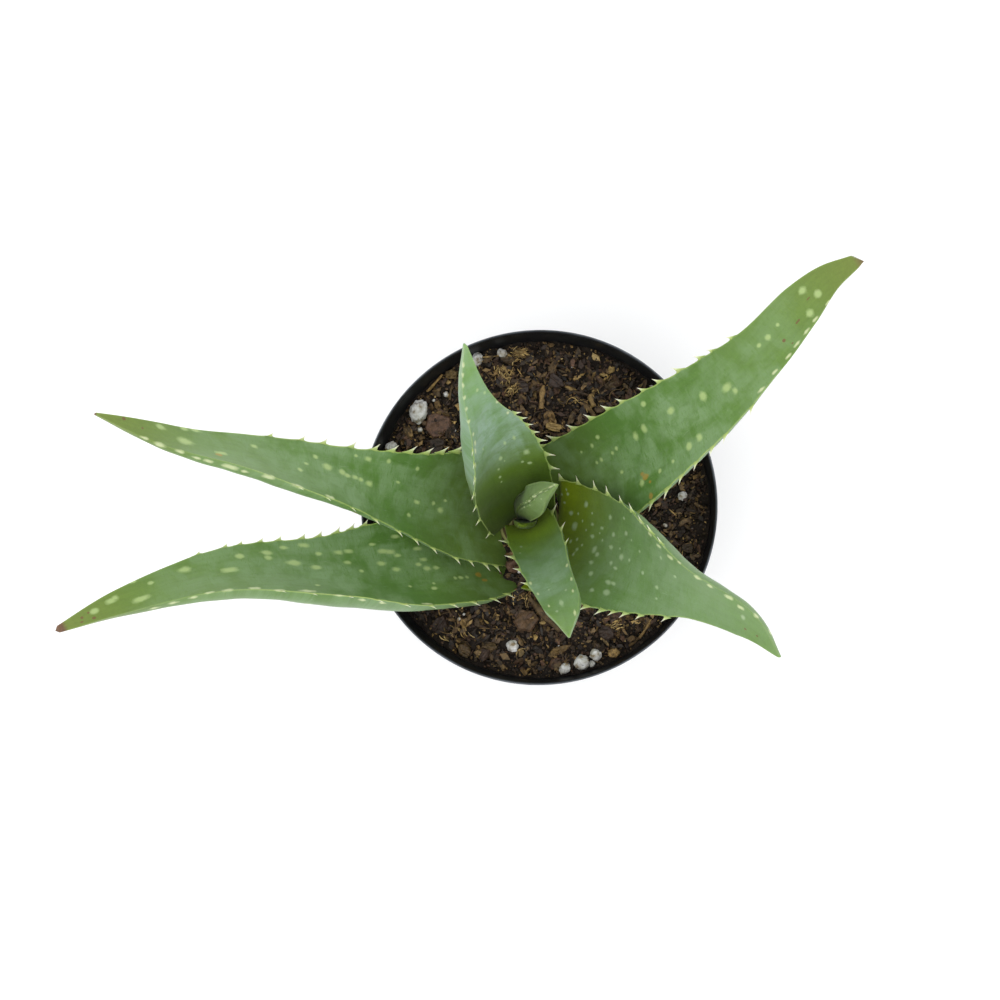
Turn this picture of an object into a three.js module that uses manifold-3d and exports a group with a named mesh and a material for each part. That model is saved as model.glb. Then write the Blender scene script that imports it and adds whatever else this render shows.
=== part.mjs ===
// A young aloe in a round black nursery pot, filled with bark and perlite potting mix.
// Millimetres, +Z up. The origin is the middle of the pot's underside, +X runs along the long
// spread of the plant, and the pot stands on the plane z = 0.
import * as THREE from "three";
import { mergeVertices } from "three/addons/utils/BufferGeometryUtils.js";
import Module from "manifold-3d";

const wasm = await Module();
wasm.setup();

// Driving dimensions
const gap = 0.3; // between pieces that touch
const pot = {
  rimRadius: 54, // outside of the rim
  height: 92,
  footRadius: 39, // outside, where the wall meets the floor
  wall: 1,
  floor: 2,
  bandHeight: 13, // the collar under the rim
  collarStep: 0.5, // how far the collar stands out from the wall
  rimWall: 1.5, // thickness of the rounded rim
  rimDepth: 3, // how far down the rim is that thick
  neckDepth: 5, // how far down the inside meets the tapered wall
  chamfer: 1, // slope at the corners of the foot and its recess
  fillet: 1.8, // slope inside, between the wall and the floor
  recessDepth: 2.2, // ring under the floor that lifts the drain holes off the bench
  recessInner: 15,
  recessOuter: 33,
  drains: 8,
  drainRadius: 3.6,
  drainCircle: 25,
  drainSides: 14,
  sides: 60,
};
const soil = {
  level: 82, // height of the mix above the bench
  crown: 0.6, // how much it heaps up round the stem
  crownReach: 20,
  sag: 1, // how much it drops at the wall
  lumps: [[0.6, 0.55, 0.48], [0.4, 1.1, -0.9], [0.3, 0.31, 1.27]], // height, and turns along x and y
  rings: 10,
  sides: 36,
};
const stem = {
  x: -3.5,
  y: -4,
  sides: 18,
  profile: [[8, 62], [11.5, 70], [10.5, 77], [7.5, 81], [4.5, 84.5]], // radius and height
};

// How every leaf is made
const ring = { top: 5, under: 7 }; // points across its upper and lower faces
const crowding = 1.2; // above 1 the cross-sections crowd towards the tip
const fullness = 2.4; // 2 is an ellipse, more is a fuller underside
const slimmest = 0.3; // least half width, at the tip
const bluntness = 0.7; // length of the tip's end, as a share of the half width there
const flesh = { margin: 0.4, taper: 0.65, fall: 0.15 }; // thickness at the margin, and how it thins
const hollow = { taper: 1.4, fall: 0.6 }; // how the channel in the face gets shallow

// A tooth, as shares of its size
const tooth = {
  inset: 0.4, // from the margin in to its root
  sink: 0.2, // from the face down to its root
  outward: 0.78, // how much it points out, and up from the face
  upward: 0.62,
  waist: [[0, 0.75, 0.3, 0.2], [0.7, 0.34, 0.2, 0]], // place along it, half length, half thickness, sweep
  reach: 1.45,
  hook: 0.35, // how far its point bends back towards the stem
  shrink: 0.55, // how much smaller the last one of a row is
};

const colours = {
  plastic: "#17181a",
  mix: "#3d2a1e",
  stem: "#7c8a4a",
  leaf: "#6f9468",
  youngLeaf: "#7da06c",
};

// Each leaf is listed from the growing point outwards. path runs up the middle of its upper face,
// from the stem to the tip. half is the half width at even steps along it, and roll is how far the
// face turns about the path at even steps, in degrees, the left margin going up.
// thick is the flesh below the face and channel the hollow in it, both where the leaf is widest.
// The teeth stand at a share of the half width from the middle, and each row of them lists how far
// along the leaf they are, 0 at the stem and 1 at the tip.
const leaves = [
  {
    name: "leaf_heart",
    colour: colours.youngLeaf,
    sections: 7,
    path: [[-4, -3, 85.5], [-4, -4.3, 95], [-4.1, -5.6, 104]],
    half: [2.8, 2.7, 0.5],
    roll: [0, 0],
    thick: 2.6,
    channel: 0.4,
  },
  {
    name: "leaf_bud",
    colour: colours.youngLeaf,
    sections: 10,
    path: [[-5, -2.5, 85.5], [-4, -1.4, 98], [-1.2, 0.2, 112], [3, 2, 127], [8, 3.5, 140]],
    half: [4, 4.5, 4.3, 3.1, 0.4],
    roll: [0, 0],
    thick: 5,
    channel: -2.6,
    teeth: { at: 0.12, size: 0.7, left: [0.5, 0.6, 0.7, 0.8], right: [0.5, 0.6, 0.7, 0.8] },
  },
  {
    name: "leaf_south",
    sections: 14,
    path: [[-4.5, -2, 86], [0.5, -12, 108], [5, -22, 128], [10, -32, 147], [12, -40, 158]],
    half: [7, 8, 7.5, 6.5, 5.5, 0.5],
    roll: [0, 0],
    thick: 6,
    channel: 2.6,
    teeth: { at: 1, size: 2.3, left: [0.09, 0.27, 0.39], right: [0.15, 0.31, 0.44, 0.56] },
  },
  {
    name: "leaf_north",
    sections: 17,
    path: [
      [-4.5, -6, 84], [-5.5, -2, 96], [-7.5, 11, 133], [-12.5, 24, 169],
      [-13.5, 29, 180], [-13.5, 36, 198],
    ],
    half: [10, 12, 12, 10, 6, 3, 0.5],
    roll: [0, 22, 27, 30, 28],
    thick: 10,
    channel: 4.6,
    teeth: {
      at: 1,
      size: 2.6,
      left: [0.04, 0.15, 0.26, 0.35, 0.46, 0.54, 0.6],
      right: [0.26, 0.33, 0.4, 0.44, 0.48, 0.52, 0.56],
    },
  },
  {
    name: "leaf_southeast",
    sections: 18,
    path: [[0, -8, 84], [5, -9, 92], [21, -16, 119], [42, -27, 150], [62, -38, 173], [70, -46, 184]],
    half: [17.5, 17, 15.5, 12, 7.5, 5, 1],
    roll: [-10, 0, 25, 38, 30],
    thick: 9.5,
    channel: 4.5,
    teeth: {
      at: 1,
      size: 2.7,
      left: [0.02, 0.07, 0.14, 0.21, 0.3, 0.38, 0.44, 0.5, 0.55],
      right: [0.2, 0.26, 0.32, 0.37, 0.41, 0.45, 0.5, 0.59],
    },
  },
  {
    name: "leaf_west",
    sections: 20,
    path: [[-7, -2, 77], [-34, 2, 113], [-57, 7, 141], [-77, 11, 163], [-96, 14, 181], [-114, 19, 197]],
    half: [16, 16, 12, 9.5, 9, 7.5, 4.5, 0.5],
    roll: [-8, 0, 32, 50, 20],
    thick: 8,
    channel: 4.5,
    teeth: {
      at: 1,
      size: 2.6,
      left: [0.04, 0.07, 0.11, 0.15, 0.21, 0.26, 0.31, 0.38, 0.45, 0.52, 0.59],
      right: [0.13, 0.16, 0.19, 0.23, 0.27, 0.31, 0.35, 0.39, 0.44, 0.5, 0.55, 0.62],
    },
  },
  {
    name: "leaf_northeast",
    sections: 20,
    path: [
      [2, -1, 77], [10, 4, 89], [33, 16, 122], [54, 29, 148],
      [67, 39, 164], [83, 55, 182], [92, 60, 189],
    ],
    half: [18, 16.5, 15.5, 13.5, 11, 7.5, 6, 2],
    roll: [0, -8, -10, 0, 0],
    thick: 8,
    channel: 3.6,
    teeth: {
      at: 1,
      size: 2.5,
      left: [0.08, 0.12, 0.18, 0.24, 0.3, 0.35, 0.42, 0.47, 0.53, 0.6, 0.64, 0.7],
      right: [0.22, 0.27, 0.32, 0.37, 0.42, 0.47, 0.52, 0.56, 0.64],
    },
  },
  {
    name: "leaf_southwest",
    sections: 20,
    path: [
      [-5, -14, 76], [-25, -16, 95], [-57, -19, 120], [-88, -21, 141],
      [-115, -30.5, 156], [-131, -38.5, 164],
    ],
    half: [9, 14, 14.5, 12.5, 10, 8, 4.5, 1],
    roll: [20, 20, 42, 38, 0],
    thick: 9.5,
    channel: 3.8,
    teeth: {
      at: 1,
      size: 2.4,
      left: [0.08, 0.12, 0.17, 0.22, 0.27, 0.33, 0.39, 0.45, 0.52, 0.58],
      right: [0.14, 0.2, 0.26, 0.31, 0.35, 0.38, 0.41, 0.45, 0.49, 0.54, 0.58, 0.62, 0.65, 0.7],
    },
  },
];

// A seeded draw between low and high.
function drawFrom(seed) {
  let state = seed;
  return (low, high) => {
    state = (state * 1664525 + 1013904223) % 4294967296;
    return low + ((high - low) * state) / 4294967296;
  };
}

function solidFrom(positions, triangles) {
  const mesh = new wasm.Mesh({
    numProp: 3,
    vertProperties: new Float32Array(positions.flat()),
    triVerts: new Uint32Array(triangles.flat()),
  });
  return new wasm.Manifold(mesh);
}

function solidOf(geometry) {
  const bare = geometry.clone();
  bare.deleteAttribute("normal");
  bare.deleteAttribute("uv");
  const merged = mergeVertices(bare, 1e-4);
  const mesh = new wasm.Mesh({
    numProp: 3,
    vertProperties: new Float32Array(merged.attributes.position.array),
    triVerts: new Uint32Array(merged.index.array),
  });
  return new wasm.Manifold(mesh);
}

function geometryOf(solid) {
  const mesh = solid.getMesh();
  const points = [];
  for (let i = 0; i < mesh.numVert; i++) {
    points.push(...mesh.vertProperties.subarray(i * mesh.numProp, i * mesh.numProp + 3));
  }
  const geometry = new THREE.BufferGeometry();
  geometry.setAttribute("position", new THREE.Float32BufferAttribute(points, 3));
  geometry.setIndex([...mesh.triVerts]);
  geometry.computeVertexNormals();
  return geometry;
}

// The biggest body of a cut piece; loose scraps are dropped.
function mainBody(solid) {
  const bodies = solid.decompose();
  return bodies.reduce((best, body) => (body.volume() > best.volume() ? body : best));
}

function pieceOf(name, solid, colour, roughness) {
  const material = new THREE.MeshStandardMaterial({ color: colour, roughness, metalness: 0 });
  const mesh = new THREE.Mesh(geometryOf(solid), material);
  mesh.name = name;
  return mesh;
}

// Revolves an outline of [radius, height] points about the Z axis.
function revolved(outline, sides) {
  const profile = outline.map(([radius, height]) => new THREE.Vector2(radius, height));
  return new THREE.LatheGeometry(profile, sides).rotateX(Math.PI / 2);
}

function cylinder(x, y, bottom, top, radius, sides) {
  const shape = new THREE.CylinderGeometry(radius, radius, top - bottom, sides).rotateX(Math.PI / 2);
  return shape.translate(x, y, (top + bottom) / 2);
}

// Outer radius of the wall at a height, without the collar.
function wallRadius(height) {
  const shoulder = pot.rimRadius - pot.collarStep;
  return pot.footRadius + ((shoulder - pot.footRadius) * height) / pot.height;
}

// The inside of the pot below its rim, drawn in by inset, from the middle of the floor outwards.
function insideOf(inset) {
  const bottom = pot.floor + pot.recessDepth;
  const turn = bottom + pot.fillet;
  const neck = pot.height - pot.neckDepth;
  return [
    [0, bottom + inset],
    [wallRadius(bottom) - pot.wall - pot.fillet - inset, bottom + inset],
    [wallRadius(turn) - pot.wall - inset, turn + inset],
    [wallRadius(neck) - pot.wall - inset, neck],
  ];
}

function makePot() {
  const collar = pot.height - pot.bandHeight;
  const brim = pot.rimRadius - pot.rimWall;
  const round = pot.rimWall / 3;
  const outline = [
    [0, 0],
    [pot.recessInner, 0],
    [pot.recessInner + pot.chamfer, pot.recessDepth],
    [pot.recessOuter - pot.chamfer, pot.recessDepth],
    [pot.recessOuter, 0],
    [pot.footRadius - pot.chamfer, 0],
    [pot.footRadius, pot.chamfer],
    [wallRadius(collar - pot.chamfer), collar - pot.chamfer],
    [wallRadius(collar) + pot.collarStep, collar],
    [pot.rimRadius, pot.height - round],
    [pot.rimRadius - round, pot.height],
    [brim + round, pot.height],
    [brim, pot.height - round],
    [brim, pot.height - pot.rimDepth],
    ...insideOf(0).reverse(),
  ];
  const drains = [];
  for (let i = 0; i < pot.drains; i++) {
    const angle = ((i + 0.5) * 2 * Math.PI) / pot.drains;
    const x = pot.drainCircle * Math.cos(angle);
    const y = pot.drainCircle * Math.sin(angle);
    const top = 2 * (pot.recessDepth + pot.floor);
    drains.push(solidOf(cylinder(x, y, 0, top, pot.drainRadius, pot.drainSides)));
  }
  return solidOf(revolved(outline, pot.sides)).subtract(wasm.Manifold.union(drains));
}

const block = () => new THREE.BoxGeometry(1, 1, 1);
const grain = () => new THREE.IcosahedronGeometry(0.5, 0);

// A lumpy chip: a block or a grain with its corners pushed about.
function chip(draw, shape, size, at, turn) {
  shape.deleteAttribute("normal");
  shape.deleteAttribute("uv");
  const merged = mergeVertices(shape, 1e-4);
  const points = merged.attributes.position;
  for (let i = 0; i < points.count; i++) {
    points.setXYZ(
      i,
      points.getX(i) * draw(0.75, 1.15),
      points.getY(i) * draw(0.7, 1.15),
      points.getZ(i) * draw(0.8, 1.15),
    );
  }
  merged.scale(...size).rotateX(turn[0]).rotateY(turn[1]).rotateZ(turn[2]).translate(...at);
  return solidOf(merged);
}

// Height of the bare mix at a place.
function soilHeight(x, y) {
  const out = Math.hypot(x, y) / wallRadius(soil.level);
  const near = Math.hypot(x - stem.x, y - stem.y) / soil.crownReach;
  let height = soil.level + soil.crown * Math.exp(-near * near) - soil.sag * out ** 6;
  for (const [high, alongX, alongY] of soil.lumps) height += high * Math.sin(x * alongX + y * alongY);
  return height;
}

// A round of mix with a lumpy top, wide enough to be trimmed by the pot.
function makeSoil() {
  const reach = wallRadius(soil.level);
  const positions = [[0, 0, soilHeight(0, 0)]];
  const triangles = [];
  for (let r = 1; r <= soil.rings + 1; r++) {
    const out = (Math.min(r, soil.rings) / soil.rings) * reach;
    for (let s = 0; s < soil.sides; s++) {
      const angle = (s * 2 * Math.PI) / soil.sides;
      const [x, y] = [out * Math.cos(angle), out * Math.sin(angle)];
      positions.push([x, y, r > soil.rings ? 0 : soilHeight(x, y)]);
    }
  }
  const last = positions.push([0, 0, 0]) - 1;
  for (let s = 0; s < soil.sides; s++) {
    const next = (s + 1) % soil.sides;
    triangles.push([0, 1 + s, 1 + next]);
    for (let r = 0; r < soil.rings; r++) {
      const [a, b] = [1 + r * soil.sides, 1 + (r + 1) * soil.sides];
      triangles.push([a + s, b + s, b + next], [a + s, b + next, a + next]);
    }
    const rim = 1 + soil.rings * soil.sides;
    triangles.push([last, rim + next, rim + s]);
  }
  return solidFrom(positions, triangles);
}

// The room inside the pot, less the gap.
function makeRoom() {
  return solidOf(revolved([...insideOf(gap), [0, pot.height - pot.neckDepth]], pot.sides));
}

// Chips of bark and grains of perlite that lie where the plant leaves the mix open to view.
const bark = [
  { at: [-31, 24], size: [10, 9, 2.4], turn: 0.5 },
  { at: [-30, -35], size: [9, 7, 3], turn: 0.9 },
  { at: [21, -38.5], size: [8.5, 7, 4], turn: 0.2 },
  { at: [1.5, -30], size: [14, 3.4, 2.6], turn: -0.85 },
  { at: [-7.5, -20.5], size: [6.5, 6, 2.6], turn: 0.4 },
  { at: [4, 26], size: [6.5, 3.4, 2], turn: -0.2 },
  { at: [2.5, 38], size: [7.5, 6, 2], turn: -0.5 },
  { at: [-6, -42], size: [10, 3.2, 2.4], turn: 0.45 },
  { at: [27, -43], size: [5.5, 4.6, 3], turn: 0.8 },
  { at: [39, 8], size: [6, 4, 2.6], turn: 1.4 },
  { at: [26, 32], size: [7, 3.4, 2.4], turn: -0.6 },
  { at: [-29, 40], size: [4.6, 4, 3.4], turn: 0.3 },
];
const perlite = [
  { at: [-36, 30], size: [7.2, 5.4, 4.6] },
  { at: [-20.5, 45], size: [4, 4.6, 3.6] },
  { at: [13.5, -47], size: [4.6, 4.6, 4.2] },
  { at: [17.5, -44.5], size: [3.8, 3.6, 3.4] },
  { at: [8.5, -49.5], size: [3.6, 2.6, 2.6] },
  { at: [-7, -41], size: [3.6, 3, 2.6] },
  { at: [44.5, 3], size: [3.6, 3, 2.6] },
  { at: [-46.5, 18], size: [3.4, 2.6, 2.4] },
  { at: [-10.5, 47], size: [2.8, 2.4, 2.2] },
];

// Smaller chips scattered over the rest
const litter = {
  count: 34,
  seed: 11,
  reach: 47,
  long: [3, 7],
  wide: [0.35, 0.8], // as a share of the length
  thick: [1.6, 2.8],
};
const lie = { lean: 0.35, chip: 0.4, grain: 0.25 }; // greatest lean, and how far up they lie

function makeChips() {
  const draw = drawFrom(litter.seed);
  const lean = () => draw(-lie.lean, lie.lean);
  const spin = () => draw(0, 2 * Math.PI);
  const made = [];
  for (const { at, size, turn } of bark) {
    made.push(chip(draw, block(), size, [...at, soilHeight(...at) + lie.chip], [lean(), lean(), turn]));
  }
  for (const { at, size } of perlite) {
    made.push(chip(draw, grain(), size, [...at, soilHeight(...at) + lie.grain * size[2]], [0, 0, spin()]));
  }
  for (let i = 0; i < litter.count; i++) {
    const out = litter.reach * Math.sqrt(draw(0, 1));
    const angle = spin();
    const at = [out * Math.cos(angle), out * Math.sin(angle)];
    const long = draw(...litter.long);
    const size = [long, long * draw(...litter.wide), draw(...litter.thick)];
    made.push(chip(draw, block(), size, [...at, soilHeight(...at) + lie.chip], [lean(), lean(), spin()]));
  }
  return made;
}

// The short woody stem, swollen below the surface where the oldest leaves sit on it.
function makeStem(swell) {
  const outline = stem.profile.map(([radius, height]) => [radius + swell, height]);
  outline[0][1] -= swell;
  outline.at(-1)[1] += swell;
  outline.unshift([0, outline[0][1]]);
  outline.push([0, outline.at(-1)[1]]);
  return solidOf(revolved(outline, stem.sides).translate(stem.x, stem.y, 0));
}

// Smooth values between evenly spaced numbers.
function along(values, t) {
  const curve = new THREE.CatmullRomCurve3(values.map((value) => new THREE.Vector3(value, 0, 0)));
  return curve.getPoint(t).x;
}

// Where a leaf runs at t from 0 to 1: its middle, its own axes and its sizes.
function leafAt(leaf, t, swell) {
  const curve = new THREE.CatmullRomCurve3(leaf.path.map((point) => new THREE.Vector3(...point)));
  const middle = curve.getPointAt(t);
  const ahead = curve.getTangentAt(t);
  const left = new THREE.Vector3(0, 0, 1).cross(ahead).normalize();
  const face = ahead.clone().cross(left).normalize();
  const roll = THREE.MathUtils.degToRad(along(leaf.roll, t));
  left.applyAxisAngle(ahead, roll);
  face.applyAxisAngle(ahead, roll);
  const half = Math.max(along(leaf.half, t), slimmest);
  const taper = Math.min(half / Math.max(...leaf.half), 1);
  if (t === 0) middle.addScaledVector(ahead, -swell);
  return {
    middle,
    ahead,
    left,
    face,
    half: half + swell,
    dip: leaf.channel * taper ** hollow.taper * (1 - hollow.fall * t),
    thick: flesh.margin + leaf.thick * taper ** flesh.taper * (1 - flesh.fall * t) + swell,
    lift: swell,
  };
}

function placeOn(at, across, above) {
  return at.middle.clone().addScaledVector(at.left, across).addScaledVector(at.face, above);
}

// The closed loop of points round a leaf, from the left margin over the face and back underneath.
function loopRound(at) {
  const points = [];
  for (let i = 0; i <= ring.top + 1; i++) {
    const across = 1 - (2 * i) / (ring.top + 1);
    const bowl = -at.dip * (1 - across * across);
    points.push(placeOn(at, at.half * across, bowl + at.lift));
  }
  for (let i = 1; i <= ring.under; i++) {
    const angle = Math.PI * (1 - i / (ring.under + 1));
    const across = Math.sign(Math.cos(angle)) * Math.abs(Math.cos(angle)) ** (2 / fullness);
    const depth = Math.sin(angle) ** (2 / fullness);
    points.push(placeOn(at, at.half * across, -(at.dip + at.thick) * depth));
  }
  return points;
}

function bladeOf(leaf, swell) {
  const positions = [];
  const triangles = [];
  const count = ring.top + ring.under + 2;
  for (let s = 0; s < leaf.sections; s++) {
    const at = leafAt(leaf, 1 - (1 - s / leaf.sections) ** crowding, swell);
    loopRound(at).forEach((point) => positions.push(point.toArray()));
  }
  const end = leafAt(leaf, 1, swell);
  const nose = placeOn(end, 0, -end.thick / 2).addScaledVector(end.ahead, bluntness * end.half + swell);
  const tip = positions.push(nose.toArray()) - 1;
  const butt = leafAt(leaf, 0, swell);
  const heel = positions.push(placeOn(butt, 0, -butt.dip - butt.thick / 2).toArray()) - 1;
  for (let i = 0; i < count; i++) {
    const next = (i + 1) % count;
    const last = (leaf.sections - 1) * count;
    triangles.push([heel, next, i], [tip, last + i, last + next]);
    for (let s = 0; s < leaf.sections - 1; s++) {
      const [a, b] = [s * count, (s + 1) * count];
      triangles.push([a + i, b + next, b + i], [a + i, a + next, b + next]);
    }
  }
  return solidFrom(positions, triangles);
}

// A tooth: a curved four-sided spike that leans up off the face and back towards the stem.
function toothOf(at, across, size, swell) {
  const side = Math.sign(across);
  const root = placeOn(at, across * (at.half - swell) - side * tooth.inset * size, -tooth.sink * size);
  const out = at.left.clone().multiplyScalar(side * tooth.outward);
  out.addScaledVector(at.face, tooth.upward).normalize();
  const upright = at.ahead.clone().cross(out).normalize();
  const corners = [];
  for (const [place, long, flat, sweep] of tooth.waist) {
    const middle = root.clone().addScaledVector(out, place * size).addScaledVector(at.ahead, sweep * size);
    for (const [a, b] of [[1, 0], [0, 1], [-1, 0], [0, -1]]) {
      const corner = middle.clone().addScaledVector(at.ahead, a * (long * size + swell));
      corners.push(corner.addScaledVector(upright, b * (flat * size + swell)).toArray());
    }
  }
  const point = root.clone().addScaledVector(out, tooth.reach * size + swell);
  corners.push(point.addScaledVector(at.ahead, -tooth.hook * size).toArray());
  const faces = [[0, 1, 3], [1, 2, 3]];
  for (let i = 0; i < 4; i++) {
    const next = (i + 1) % 4;
    faces.push([next, i, i + 4], [next, i + 4, next + 4], [next + 4, i + 4, 8]);
  }
  return solidFrom(corners, faces);
}

function makeLeaf(leaf, swell) {
  const made = [bladeOf(leaf, swell)];
  for (const [side, row] of [[1, leaf.teeth?.left ?? []], [-1, leaf.teeth?.right ?? []]]) {
    row.forEach((place, i) => {
      const at = leafAt(leaf, place, swell);
      const size = leaf.teeth.size * (1 - (tooth.shrink * i) / row.length);
      made.push(toothOf(at, side * leaf.teeth.at, size, swell));
    });
  }
  return made.reduce((whole, next) => whole.add(next));
}

const plant = new THREE.Group();
plant.name = "potted_aloe";
plant.add(pieceOf("pot", makePot(), colours.plastic, 0.45));
plant.add(pieceOf("stem", makeStem(0), colours.stem, 0.6));

// Each leaf clasps what stands inside it, so it is cut back from the stem and the younger leaves.
let inside = makeStem(gap);
for (const leaf of leaves) {
  const solid = mainBody(makeLeaf(leaf, 0).subtract(inside));
  plant.add(pieceOf(leaf.name, solid, leaf.colour ?? colours.leaf, 0.5));
  inside = inside.add(makeLeaf(leaf, gap));
}

const mix = makeChips().reduce((whole, next) => whole.add(next), makeSoil());
const filling = mainBody(mix.intersect(makeRoom()).subtract(inside));
plant.add(pieceOf("soil", filling, colours.mix, 0.95));

export default plant;
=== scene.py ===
import math

import bmesh
import bpy
import numpy as np
from mathutils import Matrix, Vector, kdtree, noise
from mathutils.bvhtree import BVHTree


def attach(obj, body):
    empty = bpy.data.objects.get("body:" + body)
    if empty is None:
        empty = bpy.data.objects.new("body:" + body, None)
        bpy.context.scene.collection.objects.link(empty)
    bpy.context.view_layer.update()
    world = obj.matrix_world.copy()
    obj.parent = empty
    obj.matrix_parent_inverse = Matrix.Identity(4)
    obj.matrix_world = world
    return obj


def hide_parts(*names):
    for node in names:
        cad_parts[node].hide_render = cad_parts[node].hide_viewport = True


# A young aloe in a black nursery pot. Sizes below are in millimetres and turned to metres in the meshes.
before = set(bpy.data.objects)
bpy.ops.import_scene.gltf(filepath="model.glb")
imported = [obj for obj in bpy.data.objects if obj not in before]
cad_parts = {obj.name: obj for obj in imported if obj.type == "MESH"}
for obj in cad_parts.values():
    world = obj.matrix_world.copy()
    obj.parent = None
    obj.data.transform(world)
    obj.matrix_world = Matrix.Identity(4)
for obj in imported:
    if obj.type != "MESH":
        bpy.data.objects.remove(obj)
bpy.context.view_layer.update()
mm = 0.001  # metres
cm = 10  # millimetres


def linear(hexColour):
    # sRGB hex to the linear numbers that Blender's sockets take
    parts = [int(hexColour[i:i + 2], 16) / 255 for i in (1, 3, 5)]
    return [c / 12.92 if c <= 0.04045 else ((c + 0.055) / 1.055) ** 2.4 for c in parts] + [1.0]


def addNode(tree, kind, settings=None, links=None):
    # settings are properties or socket values; links are fed by a socket or a node's first output
    node = tree.nodes.new("ShaderNode" + kind)
    for name, value in (settings or {}).items():
        if name == "stops":
            ramp = node.color_ramp.elements
            while len(ramp) < len(value):
                ramp.new(1)
            for stop, (place, colour) in zip(ramp, value):
                stop.position = place
                stop.color = linear(colour) if isinstance(colour, str) else (colour, colour, colour, 1)
        elif isinstance(name, str) and hasattr(node, name):
            setattr(node, name, value)
        else:
            node.inputs[name].default_value = linear(value) if isinstance(value, str) else value
    for name, source in (links or {}).items():
        tree.links.new(source if hasattr(source, "is_linked") else source.outputs[0], node.inputs[name])
    return node


def newMaterial(name):
    material = bpy.data.materials.new(name)
    material.use_nodes = True
    material.node_tree.nodes.clear()
    return material, material.node_tree


def addObject(name, data):
    holder = bpy.data.objects.new(name, data)
    bpy.context.scene.collection.objects.link(holder)
    return holder


def newMesh(name, points, faces):
    # points in millimetres
    mesh = bpy.data.meshes.new(name)
    mesh.from_pydata((np.asarray(points) * mm).tolist(), [], faces)
    return mesh


def smoothStep(low, high, value):
    share = np.clip((value - low) / (high - low), 0, 1)
    return share * share * (3 - 2 * share)


camera = {
    "place": (49.2, -56.8, 972.2),
    "aim": (-0.0689, 0.0666, -0.9954),
    "lens": 105,
    "sensor": 36,
    "picture": 1000,  # pixels across
    "farthest": 20000,
}

forward = Vector(camera["aim"]).normalized()
rightward = forward.cross(Vector((0, 1, 0))).normalized()
upward = rightward.cross(forward)


def addCamera():
    data = bpy.data.cameras.new("camera")
    data.lens = camera["lens"]
    data.sensor_width = camera["sensor"]
    data.sensor_fit = "HORIZONTAL"
    data.clip_end = camera["farthest"] * mm
    holder = addObject("camera", data)
    turn = Matrix((rightward, upward, -forward)).transposed()
    holder.matrix_world = Matrix.Translation(Vector(camera["place"]) * mm) @ turn.to_4x4()
    bpy.context.scene.camera = holder


def pixelsOf(points):
    # where points in millimetres fall in the picture
    away = points - np.array(camera["place"])
    depth = away @ np.array(forward)
    scale = camera["lens"] / camera["sensor"] * camera["picture"] / depth
    middle = camera["picture"] / 2
    return np.column_stack([middle + scale * (away @ np.array(rightward)),
                            middle - scale * (away @ np.array(upward))])


studio = {
    "floor": "#fcfcfb",
    "floorReach": 4000,
    "sky": "#fafbfd",
    "skyPower": 1.14,
    "keyPlace": (-200, -480, 1350),
    "keySize": 1300,
    "keyPower": 7.5,
    "fillPlace": (700, 700, 1100),
    "fillSize": 1400,
    "fillPower": 2,
    "lampAim": (0, 0, 100),
}


def addStudio():
    material, tree = newMaterial("matt_paper_sweep")  # seamless white paper roll
    shader = addNode(tree, "BsdfPrincipled", {"Base Color": studio["floor"], "Roughness": 0.9})
    addNode(tree, "OutputMaterial", links={"Surface": shader})
    reach = studio["floorReach"]
    mesh = newMesh("floor", [(-reach, -reach, 0), (reach, -reach, 0), (reach, reach, 0), (-reach, reach, 0)],
                   [(0, 1, 2, 3)])
    mesh.materials.append(material)
    floor = addObject("floor", mesh)
    world = bpy.data.worlds.new("soft_white_room")
    world.use_nodes = True
    sky = world.node_tree.nodes["Background"].inputs
    sky["Color"].default_value = linear(studio["sky"])
    sky["Strength"].default_value = studio["skyPower"]
    bpy.context.scene.world = world
    for name in ("key", "fill"):
        light = bpy.data.lights.new(name, "AREA")
        light.size = studio[name + "Size"] * mm
        light.energy = studio[name + "Power"]
        lamp = addObject(name, light)
        lamp.location = Vector(studio[name + "Place"]) * mm
        aim = Vector(studio["lampAim"]) * mm - lamp.location
        lamp.rotation_euler = aim.to_track_quat("-Z", "Y").to_euler()
    bpy.context.scene.view_settings.view_transform = "Standard"


addCamera()
addStudio()
print("camera and studio ready")


def newPiece(name, points, faces, material, slot, stands, sharp=None):
    # points in millimetres; edges bent by more than sharp degrees stay crisp
    mesh = newMesh(name, points, faces)
    mesh.materials.append(material)
    mesh.shade_smooth()
    if sharp:
        mesh.set_sharp_from_angle(angle=math.radians(sharp))
    piece = addObject(name, mesh)
    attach(piece, "root")
    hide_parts(stands)
    return piece


def paintPoints(mesh, name, *parts):
    # up to three numbers for each point, kept as one colour attribute
    layer = mesh.color_attributes.new(name, "FLOAT_COLOR", "POINT")
    colours = np.ones((len(mesh.vertices), 4), np.float32)
    for i, part in enumerate(parts):
        colours[:, i] = part
    layer.data.foreach_set("color", colours.ravel())


def cutBy(piece, cutters, solver):
    for cutter in cutters:
        cut = piece.modifiers.new(cutter.name, "BOOLEAN")
        cut.operation = "DIFFERENCE"
        cut.solver = solver
        cut.object = cutter
    graph = bpy.context.evaluated_depsgraph_get()
    made = bpy.data.meshes.new_from_object(piece.evaluated_get(graph))
    old = piece.data
    piece.modifiers.clear()
    piece.data = made
    bpy.data.meshes.remove(old)


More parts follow.
